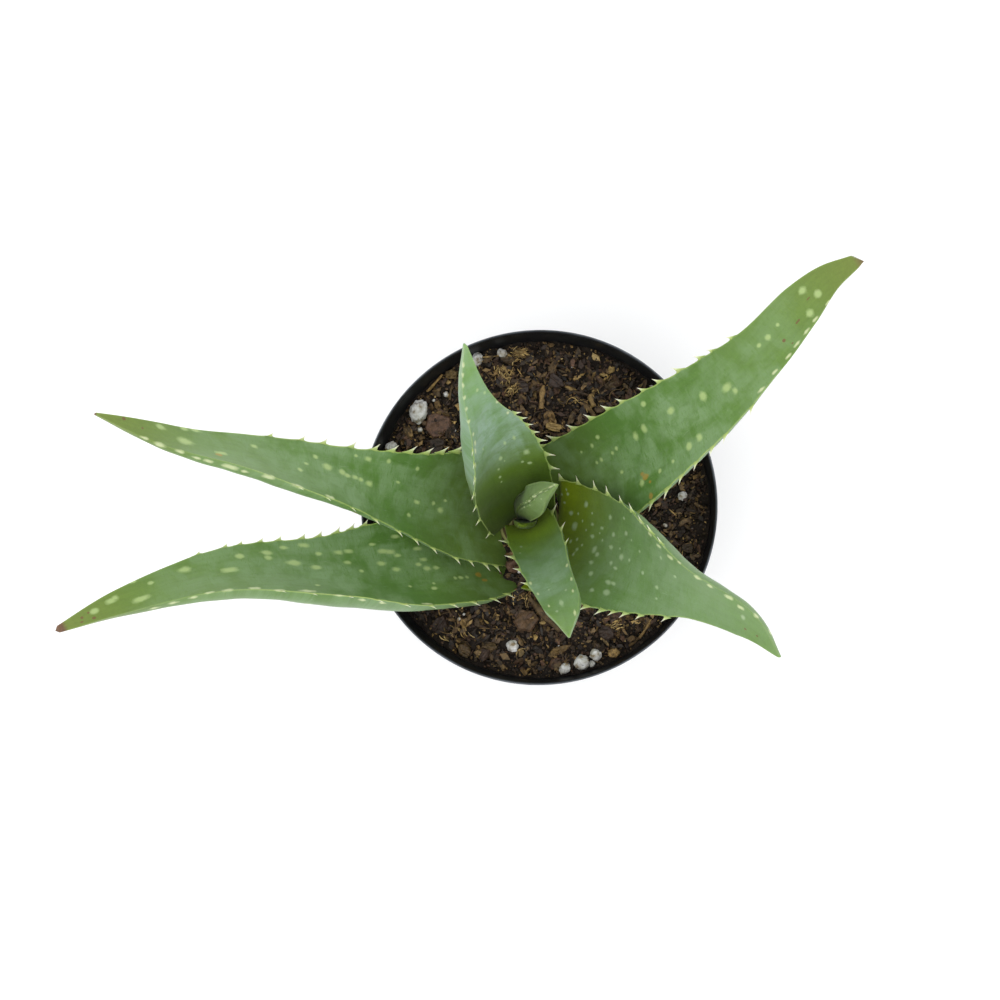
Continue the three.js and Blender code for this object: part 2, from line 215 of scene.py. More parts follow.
pot = {
    "rimRadius": 54,
    "height": 92,
    "footRadius": 39,
    "wall": 0.45,
    "floor": 2,
    "bandHeight": 13,
    "collarStep": 0.5,
    "collarCurve": ((1.2, 0), (0.8, 0.08), (0.3, 0.42)),  # down from its edge, out from the wall
    "collarJog": 1,  # half the height over which the inside follows the step
    "rimWall": 0.8,
    "rimDepth": 3,
    "neckDepth": 5,
    "chamfer": 1,
    "fillet": 1.8,
    "cornerRound": (0.5, 1.1),  # in and down, the middle of the fillet
    "footRound": 0.3,
    "recessDepth": 2.2,
    "recessInner": 15,
    "recessOuter": 33,
    "drains": 8,
    "drainRadius": 3.6,
    "drainCircle": 25,
    "drill": (4, 6, 40),  # height of its middle, length and sides
    "lipRound": 0.4,
    "lipSteps": 8,
    "lipBevel": ((0.3, 0.08), (0.05, 0.5)),  # out from the inside of the lip, and down from its top
    "ridge": 0.12,
    "ridgesFrom": 0.6,  # below the lip's top
    "ridgeSteps": 16,
    "draft": 0.01,  # how much the inside narrows at each of these steps
    "lipHighlightWidth": (0.9, 0.3),  # in from the rim's edge: where the painted lip highlight starts, and where it is full
    "lipHighlightDepth": (0.8, 0.3),  # the same, down from its top
    "sides": 240,
    "crisp": 40,
    "outOfRound": 0.12,  # how far the thin wall gives under the weight of the mix
    "outOfRoundTurn": 0.6,
}


def wallRadius(height):
    shoulder = pot["rimRadius"] - pot["collarStep"]
    return pot["footRadius"] + (shoulder - pot["footRadius"]) * height / pot["height"]


def potOutline():
    # radius and height, from the middle of the underside round the rim to the middle of the floor
    rim, top, wall = pot["rimRadius"], pot["height"], pot["wall"]
    collarStep, jog, ridgesFrom = pot["collarStep"], pot["collarJog"], pot["ridgesFrom"]
    collar = top - pot["bandHeight"]
    brim = rim - pot["rimWall"]
    floorTop = pot["floor"] + pot["recessDepth"]
    turn = floorTop + pot["fillet"]
    neck = top - pot["neckDepth"]
    inside = collarStep - wall
    outline = [
        (0, 0), (pot["recessInner"], 0),
        (pot["recessInner"] + pot["chamfer"], pot["recessDepth"]),
        (pot["recessOuter"] - pot["chamfer"], pot["recessDepth"]),
        (pot["recessOuter"], 0), (pot["footRadius"] - pot["chamfer"], 0),
        (pot["footRadius"] - pot["footRound"], pot["footRound"]), (pot["footRadius"], pot["chamfer"]),
    ]
    for down, out in pot["collarCurve"]:
        outline.append((wallRadius(collar - down) + out, collar - down))
    outline.append((wallRadius(collar) + collarStep, collar))
    for step in range(pot["lipSteps"] + 1):  # the lip, round outside and bevelled inside
        angle = math.pi * step / (2 * pot["lipSteps"])
        outline.append((rim + pot["lipRound"] * (math.cos(angle) - 1),
                        top + pot["lipRound"] * (math.sin(angle) - 1)))
    for out, down in pot["lipBevel"]:
        outline.append((brim + out, top - down))
    for step in range(1, pot["ridgeSteps"] + 1):  # fine ridges left by the mould
        depth = ridgesFrom + (pot["rimDepth"] - ridgesFrom) * step / pot["ridgeSteps"]
        outline.append((brim + pot["ridge"] * (step % 4 == 0) - pot["draft"] * step, top - depth))
    cornerIn, cornerDown = pot["cornerRound"]
    outline += [
        (wallRadius(neck) + inside, neck),
        (wallRadius(collar + jog) + inside, collar + jog),
        (wallRadius(collar - jog) - wall, collar - jog),
        (wallRadius(turn) - wall, turn),
        (wallRadius(turn) - wall - cornerIn, turn - cornerDown),
        (wallRadius(floorTop) - wall - pot["fillet"], floorTop), (0, floorTop),
    ]
    return outline


def revolve(outline, sides):
    points = []
    faces = []
    rings = []
    for radius, height in outline:
        if radius == 0:
            rings.append([len(points)] * sides)
            points.append((0, 0, height))
            continue
        rings.append(list(range(len(points), len(points) + sides)))
        for side in range(sides):
            angle = 2 * math.pi * side / sides
            points.append((radius * math.cos(angle), radius * math.sin(angle), height))
    for low, high in zip(rings, rings[1:]):
        for side in range(sides):
            nextSide = (side + 1) % sides
            corners = [low[side], low[nextSide], high[nextSide], high[side]]
            faces.append(list(dict.fromkeys(corners)))
    return points, faces


# Injection-moulded black polypropylene: satin, a little waxy and dusty, with a painted highlight: a thin
# bluish-grey line along the top of its outer lip.
def moulded():
    material, tree = newMaterial("moulded_polypropylene")
    place = addNode(tree, "TexCoord").outputs["Object"]
    cloud = addNode(tree, "TexNoise", {"Scale": 90, "Detail": 4, "Roughness": 0.6},
                    {"Vector": place})  # 11 mm clouds of dust
    grit = addNode(tree, "TexNoise", {"Scale": 1400, "Detail": 2}, {"Vector": place})  # 0.7 mm
    apart = addNode(tree, "SeparateXYZ", links={"Vector": place}).outputs
    level = addNode(tree, "CombineXYZ", links={"X": apart["X"], "Y": apart["Y"]})
    radius = addNode(tree, "VectorMath", {"operation": "LENGTH"}, {0: level}).outputs["Value"]
    outward, high = [
        addNode(tree, "MapRange",
                {"From Min": (edge - start) * mm, "From Max": (edge - full) * mm}, {"Value": source})
        for source, edge, (start, full) in ((radius, pot["rimRadius"], pot["lipHighlightWidth"]),
                                            (apart["Z"], pot["height"], pot["lipHighlightDepth"]))]
    lip = addNode(tree, "Math", {"operation": "MULTIPLY"}, {0: outward, 1: high})
    # a painted highlight: a thin bluish-grey line round the top of the outer lip, broken up by the dust
    # clouds
    lipHighlightCloud = addNode(tree, "MapRange",
                     {"From Min": 0.35, "From Max": 0.6, "To Min": 0.25, "To Max": 0.8}, {"Value": cloud})
    rubbed = addNode(tree, "Math", {"operation": "MULTIPLY"}, {0: lip, 1: lipHighlightCloud})
    dust = addNode(tree, "MapRange", {"From Min": 0.5, "From Max": 0.75, "To Max": 0.14}, {"Value": cloud})
    dusty = addNode(tree, "Mix", {"data_type": "RGBA", 6: "#19191b", 7: "#5b5a55"}, {0: dust})
    colour = addNode(tree, "Mix", {"data_type": "RGBA", 7: "#5a5f66"}, {0: rubbed, 6: dusty.outputs[2]})
    rough = addNode(tree, "MapRange", {"To Min": 0.34, "To Max": 0.55}, {"Value": cloud})
    bump = addNode(tree, "Bump", {"Strength": 0.12, "Distance": 0.0002}, {"Height": grit})
    shader = addNode(tree, "BsdfPrincipled", {"IOR": 1.49, "Specular IOR Level": 0.3},
                     {"Base Color": colour.outputs[2], "Roughness": rough, "Normal": bump})
    addNode(tree, "OutputMaterial", links={"Surface": shader})
    return material


def makePot():
    points, faces = revolve(potOutline(), pot["sides"])
    points = np.array(points)
    angle = np.arctan2(points[:, 1], points[:, 0])
    give = pot["outOfRound"] * np.sin(2 * angle + pot["outOfRoundTurn"]) * points[:, 2] / pot["height"]
    points[:, :2] *= (1 + give / pot["rimRadius"])[:, None]
    body = newPiece("nurseryPot", points, faces, moulded(), "pot", "pot")
    height, length, sides = pot["drill"]
    drill = bpy.data.meshes.new("drill")
    shape = bmesh.new()
    for i in range(pot["drains"]):
        angle = (i + 0.5) * 2 * math.pi / pot["drains"]
        x, y = pot["drainCircle"] * math.cos(angle), pot["drainCircle"] * math.sin(angle)
        bmesh.ops.create_cone(shape, cap_ends=True, segments=sides, radius1=pot["drainRadius"] * mm,
                              radius2=pot["drainRadius"] * mm, depth=length * mm,
                              matrix=Matrix.Translation(Vector((x, y, height)) * mm))
    shape.to_mesh(drill)
    shape.free()
    cutter = addObject("drill", drill)
    cutBy(body, [cutter], "EXACT")
    bpy.data.objects.remove(cutter)
    body.data.set_sharp_from_angle(angle=math.radians(pot["crisp"]))


makePot()
print("pot ready")


stem = {
    "x": -3.5,
    "y": -4,
    "profile": [(8, 62), (11.5, 70), (10.5, 77), (7.5, 81), (4.5, 84.5)],  # radius and height
    "steps": 33,
    "sides": 72,
    "coarseSides": 36,
    "lobes": (0.03, 3, 0.6),  # share of the radius, count, and twist with the height
}

# Each leaf runs from the stem to its tip. path is the middle of its upper face, half the half width and
# roll the turn of the face in degrees at even steps, thick the flesh and channel the hollow at the widest
# place. left and right list where the teeth stand, 0 at the stem and 1 at the tip, and toothSize gives the
# size of the first one on either side. toothAt is how far out they stand, the margin if it isn't given, and
# seam is the depth of a furrow. nose is how far ahead and to the left the tip ends, as shares of its half
# width, and browned how far it has dried. Marks are (x, y, long, wide): a place in the picture, and a size.
leaves = {
    "heart": {
        "path": [(-4, -3, 85.5), (-4, -4.3, 95), (-4.1, -5.6, 104)],
        "half": [3.3, 3.4, 1.4],
        "roll": [0, 0],
        "thick": 2,
        "channel": 0.4,
    },
    "bud": {
        "path": [(-4.6, -1.6, 85.5), (-3.7, -0.7, 98), (-0.9, 0.1, 112), (3, 2, 127), (7.3, 3, 140)],
        "half": [3.8, 4.5, 4.9, 3.2, 0.4],
        "roll": [0, 0],
        "thick": 5,
        "channel": -3.6,
        "seam": 0.5,
        "toothSize": (0.6, 0.6),
        "toothAt": 0.1,
        "left": [0.4, 0.49, 0.56, 0.63, 0.7, 0.78, 0.86],
        "right": [0.43, 0.53, 0.66],
        "dashes": [(524, 507, 1.2, 0.7), (526, 502.5, 1, 0.5), (529.5, 501, 2, 0.8),
                   (533, 496.5, 1.3, 0.6), (535.5, 496.5, 2.4, 0.8), (541, 492.5, 2.8, 0.7),
                   (546, 490.5, 4, 0.6), (551, 487, 4.5, 0.6), (555, 484.5, 3, 0.5), (530, 505, 0.8, 0.4),
                   (541, 499, 0.8, 0.4)],
    },
    "south": {
        "path": [(-4.5, -2, 86), (0.5, -12, 108), (5, -22, 128), (10, -32, 147), (12, -40, 158)],
        "half": [7, 8, 7.5, 6.5, 5.5, 0.5],
        "roll": [0, 0],
        "thick": 6,
        "channel": 2.6,
        "toothSize": (3.2, 3.1),
        "left": [0.09, 0.27, 0.39],
        "right": [0.15, 0.31, 0.44, 0.56],
        "spots": [(521, 547, 1.6, 0.8), (561, 603, 3.4, 1.1), (566, 590, 1.4, 0.8), (520, 553, 0.8, 0.5),
                  (557, 611, 1.6, 0.7), (549, 590, 1, 0.5)],
        "dashes": [(567, 565, 2, 0.9), (571.5, 579, 2.4, 0.8), (573, 591, 2, 0.6), (530.5, 583, 2.2, 0.8),
                   (538, 594, 1.8, 0.7), (549, 606, 1.8, 0.6), (575, 613, 2.6, 0.7)],
    },
    "north": {
        "path": [(-4.5, -6, 84), (-5.5, -2, 96), (-7.5, 11, 133), (-12.5, 24, 169), (-13.5, 29, 180),
                 (-13.5, 36, 198)],
        "half": [10, 12, 12, 10, 6, 3, 0.5],
        "roll": [0, 22, 27, 30, 28],
        "thick": 10,
        "channel": 4.6,
        "toothSize": (2.3, 3.3),
        "left": [0.04, 0.15, 0.26, 0.35, 0.46, 0.54, 0.6],
        "right": [0.26, 0.33, 0.4, 0.44, 0.48, 0.52, 0.56],
        "spots": [(505, 443, 2.6, 0.8), (514, 438, 2.6, 0.8), (526, 452, 2.8, 1.6), (501, 458, 2.6, 1.2),
                  (530, 463, 1.8, 1.2), (522, 462, 1.5, 0.8), (499, 469, 1.6, 0.8), (500, 477, 1.6, 0.8),
                  (501, 482, 1.4, 0.7), (505, 461, 1, 0.5), (477, 390, 1.8, 0.9), (484.6, 393, 1.6, 0.7),
                  (483, 449, 1.4, 0.5)],
        "dashes": [(463, 365.5, 2.8, 1), (462.7, 375, 2.4, 0.9), (463, 385.5, 2.6, 0.9),
                   (464.5, 398, 1.8, 1.1), (466.4, 409, 1.6, 1), (468.6, 422, 1.6, 1.2),
                   (473.4, 434, 1.6, 1.1), (475, 443, 2.6, 1), (475.5, 451, 3.4, 0.9),
                   (475.5, 465, 4, 0.9), (475, 480, 3.6, 0.8), (475.5, 494, 3.2, 0.8),
                   (508, 413, 1.8, 0.8), (497, 402, 1.6, 0.7)],
    },
    "southeast": {
        "path": [(0, -8, 84), (5, -9, 92), (21, -16, 119), (42, -27, 150), (62, -38, 173),
                 (69.7, -46.6, 184)],
        "half": [17.5, 17, 15.5, 12, 7.4, 5.1, 0.3],
        "roll": [-10, 0, 25, 38, 30],
        "thick": 9.5,
        "channel": 4.5,
        "toothSize": (3.1, 3.2),
        "left": [0.02, 0.07, 0.14, 0.21, 0.3, 0.38, 0.44, 0.5, 0.55],
        "right": [0.2, 0.26, 0.32, 0.37, 0.41, 0.45, 0.5, 0.59],
        "spots": [(586, 505, 2.2, 1.7), (571, 513, 2.2, 1.4), (578, 514, 1.2, 0.8), (592, 514, 1.2, 0.8),
                  (611, 517, 2.4, 1.3), (574, 526, 3.2, 2.2), (592, 525, 2, 0.9), (602, 528, 2, 0.9),
                  (614, 534, 2.4, 1.3), (626, 534, 2.2, 1.2), (592, 537, 2.4, 1.2), (571, 541, 1.6, 1),
                  (577, 540, 1.6, 0.9), (582, 545, 1.4, 0.9), (577, 549, 1.8, 1), (611, 547, 2.4, 1.3),
                  (594, 550, 2.8, 1.8), (597, 555, 2.4, 1.3), (573, 555, 1.6, 1.1), (621, 557, 3, 1.5),
                  (591, 563, 2.2, 1.3), (611, 562, 2.2, 1.2), (562, 494, 1.2, 0.8), (568, 494, 1.2, 0.8),
                  (564, 502, 1.2, 0.8), (664, 546, 1.6, 1), (661, 558, 1.4, 0.9), (743, 617, 2, 1.3),
                  (624, 518, 1.3, 0.9), (629, 561, 1.2, 0.8), (615, 568, 2.2, 0.9), (602, 541, 1.2, 0.8),
                  (643, 573, 1.6, 0.9), (608, 582, 2.6, 1.4), (591, 573, 2.2, 1.3), (592, 590, 2.2, 1.2),
                  (613, 584, 2.2, 1), (607, 592, 3.2, 1.8), (657, 587, 2.4, 1), (656, 598, 1.4, 0.7),
                  (582, 521, 1.1, 0.8), (566, 489, 1, 0.7), (600, 533, 1.1, 0.6), (586, 531, 1.1, 0.8),
                  (632, 540, 1.1, 0.7), (620, 549, 1, 0.7), (640, 551, 1.2, 0.7), (675, 577, 1.3, 0.8)],
        "dashes": [(641, 522.5, 3, 0.9), (650, 534, 3, 0.9), (659, 546, 3, 0.9), (670, 557.5, 3.4, 1),
                   (679, 562.5, 2.4, 0.8), (697.5, 577.5, 3, 1.1), (710, 586, 2.4, 1), (729, 597.5, 3, 1.1),
                   (741, 607.5, 2.4, 0.9), (756, 616, 2.6, 1), (770, 632, 2.8, 0.9), (776, 641, 2, 0.6)],
        "specks": [(745, 629, 1.4, 0.5), (757, 636, 1, 0.4)],
    },
    "west": {
        "path": [(-7, -2, 79.5), (-34, 2, 113), (-57, 7, 141), (-77, 11, 163), (-96, 14, 181),
                 (-114, 19, 197)],
        "half": [16, 16, 12, 9.5, 8.7, 7.2, 4.2, 0.3],
        "roll": [0, 0, 32, 50, 20],
        "thick": 8,
        "channel": 4.5,
        "toothSize": (2.2, 3.3),
        "left": [0.04, 0.07, 0.11, 0.15, 0.21, 0.26, 0.31, 0.38, 0.45, 0.52, 0.59],
        "right": [0.13, 0.16, 0.19, 0.23, 0.27, 0.31, 0.35, 0.39, 0.44, 0.5, 0.55, 0.62],
        "browned": 0.35,
        "spots": [(161, 427, 3.4, 1.3), (185, 441.5, 5.2, 2.2), (184, 428.5, 3, 1.2), (195, 430, 3.4, 1.1),
                  (221, 453, 3.4, 1.3), (254.5, 446, 2, 1.2), (316, 457, 1.6, 1.2), (327, 466.5, 2.8, 2.2),
                  (342, 472, 2.6, 1.4), (348, 476, 2, 1.2), (355, 477, 2, 1.2), (361, 480, 2, 1.1),
                  (368, 459, 2.2, 1.3), (369, 484, 2.6, 1.5), (389, 461, 1.7, 1.1), (417, 469, 1.6, 1),
                  (417, 502, 2.2, 1.1), (434, 503, 1.8, 1.1), (440, 510, 2.6, 1.5), (445, 500, 1.4, 0.9),
                  (300, 470, 2, 1.2), (398, 482, 1.4, 0.8), (306, 464, 1.4, 0.8), (409, 515, 2, 1.1),
                  (356, 456, 1.4, 0.8)],
        "dashes": [(145, 438, 2.6, 0.9), (160, 445, 3.6, 1.3), (179.5, 452, 3, 1.1), (197, 458, 2.8, 1),
                   (209, 461, 2.6, 1.1), (229.6, 467, 4.4, 1.6), (268, 477, 4, 1.3), (299, 486, 4.6, 1.4),
                   (330, 497, 3.4, 1), (245, 471, 2.6, 1)],
        "scars": [(218.5, 455, 2.6, 1.4), (356, 513, 5, 0.8)],
        "specks": [(123.5, 418.5, 1.3, 1), (143, 428, 0.8, 0.6)],
    },
    "northeast": {
        "path": [(2, -1, 77), (10, 4, 89), (33, 16, 122), (54, 29, 148), (67, 39.5, 164), (76.2, 49.2, 174),
                 (83.2, 55.6, 181.5), (90.4, 59.3, 188.7)],
        "half": [18, 16.5, 15.5, 13.5, 11, 8, 6.2, 2],
        "roll": [0, -8, -10, 0, 0],
        "thick": 8,
        "channel": 3.6,
        "toothSize": (3.1, 3),
        "left": [0.08, 0.12, 0.18, 0.24, 0.3, 0.35, 0.42, 0.47, 0.53, 0.6, 0.64, 0.7],
        "right": [0.22, 0.27, 0.32, 0.37, 0.42, 0.47, 0.52, 0.56, 0.64],
        "nose": (1.2, -0.55),
        "browned": 0.12,
        "spots": [(802, 290.5, 2.5, 1.9), (818, 293.5, 2.4, 2), (810, 313.5, 2.4, 2), (768, 337, 2.2, 1.6),
                  (727, 388, 3.2, 2.4), (735, 390.5, 1.9, 1.6), (703, 395.5, 2.7, 2.4),
                  (671, 411, 2.6, 2.1), (644, 404, 2, 1.5), (644, 429, 2.4, 2.2), (635, 436, 2.4, 2.2),
                  (699.5, 437, 2.4, 2), (689.5, 446, 2.6, 2.1), (673, 461, 1.5, 1.1), (642, 483, 2.4, 2),
                  (660, 471.5, 1.6, 1.2), (597, 437, 1.5, 1.4), (592, 446, 1.5, 1.3), (617, 449, 1.4, 1.3),
                  (612, 453, 1.4, 1.2), (602, 460, 1.5, 1.3), (597, 463, 1.4, 1.1), (621.5, 472, 1.6, 1),
                  (759, 345.5, 1.5, 1.2), (777, 325, 1.3, 0.9), (581, 452, 1, 0.8)],
        "dashes": [(761, 390, 2.6, 0.7), (775, 371.5, 2.6, 0.7), (789, 355.5, 2.4, 0.7),
                   (797, 344, 2.6, 0.7), (807, 331, 2.4, 0.7), (815.5, 319, 2.4, 0.7), (828, 302.5, 3, 0.6)],
        "scars": [(646, 477, 3.2, 1.8), (651, 496, 2, 2.4), (642, 473.5, 1.8, 1.2), (650, 482, 1.4, 1)],
        "specks": [(798, 321, 2.2, 0.5), (784, 341, 1.2, 0.9), (808, 299, 1.8, 0.4), (793, 343, 0.8, 0.4)],
    },
    "southwest": {
        "path": [(-5, -14, 73.5), (-25, -16, 94.5), (-57, -19, 120), (-88, -21, 141), (-115, -30.5, 156),
                 (-131, -38.5, 164)],
        "half": [9, 14, 14.5, 12.5, 10, 8, 4.5, 1],
        "roll": [20, 20, 42, 38, 0],
        "thick": 9.5,
        "channel": 3.8,
        "toothSize": (2.1, 2.5),
        "left": [0.08, 0.12, 0.17, 0.22, 0.27, 0.33, 0.39, 0.45, 0.52, 0.58],
        "right": [0.14, 0.2, 0.26, 0.31, 0.35, 0.38, 0.41, 0.45, 0.49, 0.54, 0.58, 0.62, 0.65, 0.7],
        "browned": 2.4,
        "spots": [(94.5, 611, 2.6, 1.5), (111, 601, 2.6, 1.6), (114.5, 598, 2, 1.4), (141, 599, 4.2, 1.9),
                  (132, 581, 1.8, 0.9), (151, 583, 2, 1), (184, 570, 4, 1.8), (229, 570, 4.4, 1.8),
                  (240, 556, 2.6, 1.8), (267, 553, 3.6, 1.5), (268, 558, 2.8, 1.4), (283.5, 548, 2.8, 1.2),
                  (303.5, 545.5, 3.2, 1.3), (293.5, 563, 4.6, 2), (316, 567.5, 3.4, 1.5),
                  (319, 553.5, 2.2, 1.3), (338, 553, 2.6, 1.3), (348, 551, 2.6, 1.2), (383, 552, 3.4, 1.5),
                  (390, 552, 2.8, 1.4), (347, 563, 2.6, 1.3), (382, 564, 2.8, 1.6), (397, 570, 2.6, 1.6),
                  (397, 556, 1.8, 1), (372, 545, 1.8, 1), (395, 537, 2.2, 1.2), (418, 549, 2.6, 1.2),
                  (427, 568, 2.8, 1.3), (436, 567, 2.2, 1.3), (424, 560, 2.4, 1.1), (419, 565, 2.2, 1),
                  (435, 588, 2.2, 1.2), (461, 577, 2, 1.3), (455.5, 578.5, 1.3, 1), (467, 577, 1.5, 0.9),
                  (307.5, 605, 3, 1.4), (410, 586, 1.4, 0.7), (361, 571, 1.8, 1), (318, 585, 1.8, 0.8),
                  (434, 583, 1.2, 0.8)],
        "dashes": [(307.6, 591, 4.8, 1.2), (280, 590, 3.2, 1), (254.6, 588, 3.6, 1), (227.6, 590, 3.2, 1.1),
                   (209, 592.7, 2.6, 0.9), (193, 597, 2.8, 1), (172.7, 603, 3.4, 1), (154, 608, 3.2, 0.9),
                   (340, 595, 3.4, 0.8), (362, 600, 3, 0.8), (382, 603, 3.6, 0.7), (427, 603.5, 4, 0.7)],
        "scars": [(478.5, 574.5, 2.6, 1.8), (484, 580.5, 2.2, 1.1), (88, 626, 1.6, 0.6)],
        "specks": [(82.5, 617.5, 0.9, 0.8), (94.5, 617.5, 1.2, 0.9), (88, 613, 0.8, 0.6),
                   (82, 622, 0.9, 0.5)],
    },
}

leafMaking = {
    "step": 0.42,  # spacing of the cross-sections
    "crowding": 1.15,  # past 1 they come closer together towards the tip
    "across": 75,  # points across the upper face, closer together near the margins
    "under": 41,  # points across the underside
    "fullness": 2.4,  # 2 is an ellipse, more is fuller underneath
    "slimmest": 0.3,
    "margin": 0.4,  # thickness at the edge
    "nose": (0.7, 0),
    "dipShape": (1.4, 0.6),  # how the hollow follows the width, and the share it loses by the tip
    "fleshShape": (0.65, 0.15),  # the same for the thickness
    "ripple": 0.12,  # height of the soft waves in the skin
    "waves": ((1, 0.21, 0.12), (0.7, 0.47, -0.3), (0.5, 0.09, 0.55)),  # height, and turns along and across
    "drying": (1.3, 0.5),  # where the tip starts to brown and where it is dry, in lengths of browned
    "crisp": 55,
    "samples": 801,
    "mapApart": 20,  # centimetres between face and underside in leafMap
    "gap": 0.15,  # air between a leaf and the younger one it clasps
    "coarse": (3, 9, 11),  # step, across and under of the copies that the older leaves are cut with
    "solver": "MANIFOLD",
}

# The furrow where the two halves of the folded bud meet, one lapping over the other
furrow = {
    "opens": (0.12, 0.3),  # shares of the length
    "width": 0.32,
    "lap": 0.5,
    "lapReach": (0.05, 1.6),
    "edge": 0.9,
}

# A tooth, as shares of its size: a hooked thorn that leans back towards the stem
tooth = {
    "inset": 0.03,
    "sink": 0.06,
    "outward": 0.93,
    "upward": 0.36,
    "stemSide": (0.24, 0.18),  # half length of its foot and of its spike on the side of the stem
    "tipSide": (0.95, 0.2),  # and on the side of the tip, where it runs out along the margin
    "flat": (0.02, 0.1),  # half thickness of its foot and of its spike
    "reach": 1.05,
    "hook": 0.62,
    "rings": 12,
    "sides": 12,
    "crowding": 1.2,  # how its rings crowd to its foot
    "bend": 1.7,
    "foot": 2.8,  # how fast the foot runs out into the spike
    "point": 0.8,  # how fast the spike sharpens
    "swelling": 0.16,  # of the margin at its foot
    "swellReach": (0.45, 1.3),  # towards the stem and towards the tip
    "swellEdge": 14,
    "shrink": 0.4,  # how much smaller the last one of a row is
    "vary": (0.85, 1.12),
}

# Spots of the underside: how many for each square millimetre of half the leaf, and how they gather in bands
undersideSpots = {
    "density": 0.05,
    "inner": 0.92,
    "least": 0.35,
    "bandTurn": 0.16,
    "long": (1.6, 4.5),
    "wide": (0.9, 1.8),
}


def ringFaces(rings, sides, start=0, turned=False):
    # quads between rings of points that follow one another
    faces = []
    for ring in range(rings - 1):
        a, b = start + ring * sides, start + (ring + 1) * sides
        for k in range(sides):
            n = (k + 1) % sides
            faces.append((a + k, b + k, b + n, a + n) if turned else (a + k, a + n, b + n, b + k))
    return faces


def splineAt(values, shares):
    # a centripetal Catmull-Rom curve through the values, at shares of their count
    points = np.asarray(values, float)
    points = points[:, None] if points.ndim == 1 else points
    last = len(points) - 1
    held = np.vstack([2 * points[0] - points[1], points, 2 * points[-1] - points[-2]])
    spot = np.clip(shares, 0, 1) * last
    first = np.minimum(spot.astype(int), last - 1)
    w = (spot - first)[:, None]
    p0, p1, p2, p3 = (held[first + k] for k in range(4))
    d0, d1, d2 = (np.linalg.norm(b - a, axis=1)[:, None] ** 0.5 for a, b in ((p0, p1), (p1, p2), (p2, p3)))
    d1 = np.where(d1 < 1e-4, 1, d1)
    d0 = np.where(d0 < 1e-4, d1, d0)
    d2 = np.where(d2 < 1e-4, d1, d2)
    m1 = ((p1 - p0) / d0 - (p2 - p0) / (d0 + d1) + (p2 - p1) / d1) * d1
    m2 = ((p2 - p1) / d1 - (p3 - p1) / (d1 + d2) + (p3 - p2) / d2) * d1
    return p1 + m1 * w + (3 * (p2 - p1) - 2 * m1 - m2) * w ** 2 + (2 * (p1 - p2) + m1 + m2) * w ** 3


def leafRun(leaf):
    # close points along the middle of the upper face, and how far along it each is
    dense = splineAt(leaf["path"], np.linspace(0, 1, leafMaking["samples"]))
    return dense, np.concatenate([[0], np.cumsum(np.linalg.norm(np.diff(dense, axis=0), axis=1))])


def sharesOf(leaf, step):
    # where the cross-sections stand, 0 at the stem and short of 1 at the tip
    count = int(leafRun(leaf)[1][-1] / step)
    return 1 - (1 - np.arange(count) / count) ** leafMaking["crowding"]


def leafStations(leaf, shares, swell=0.0):
    # the middle, the leaf's own axes and its sizes at shares of its length
    dense, run = leafRun(leaf)
    slope = np.gradient(dense, axis=0)
    middle = np.column_stack([np.interp(shares * run[-1], run, dense[:, k]) for k in range(3)])
    ahead = np.column_stack([np.interp(shares * run[-1], run, slope[:, k]) for k in range(3)])
    ahead /= np.linalg.norm(ahead, axis=1)[:, None]
    flatLeft = np.cross((0, 0, 1), ahead)
    flatLeft /= np.linalg.norm(flatLeft, axis=1)[:, None]
    flatFace = np.cross(ahead, flatLeft)
    roll = np.radians(splineAt(leaf["roll"], shares))
    half = np.maximum(splineAt(leaf["half"], shares)[:, 0], leafMaking["slimmest"])
    taper = np.minimum(half / max(leaf["half"]), 1)
    dipPower, dipLoss = leafMaking["dipShape"]
    fleshPower, fleshLoss = leafMaking["fleshShape"]
    flesh = leaf["thick"] * taper ** fleshPower * (1 - fleshLoss * shares)
    return {
        "share": shares,
        "run": shares * run[-1],
        "middle": middle,
        "ahead": ahead,
        "left": np.cos(roll) * flatLeft + np.sin(roll) * flatFace,
        "face": np.cos(roll) * flatFace - np.sin(roll) * flatLeft,
        "half": half + swell,
        "dip": leaf["channel"] * taper ** dipPower * (1 - dipLoss * shares),
        "thick": leafMaking["margin"] + flesh + swell,
    }


def toothRow(leaf, side):
    # place along the leaf and size of each tooth on one side
    places = leaf.get("left" if side > 0 else "right", [])
    shrink = tooth["shrink"] / max(len(places), 1)
    return [(place, leaf["toothSize"][side < 0] * (1 - shrink * i)) for i, place in enumerate(places)]


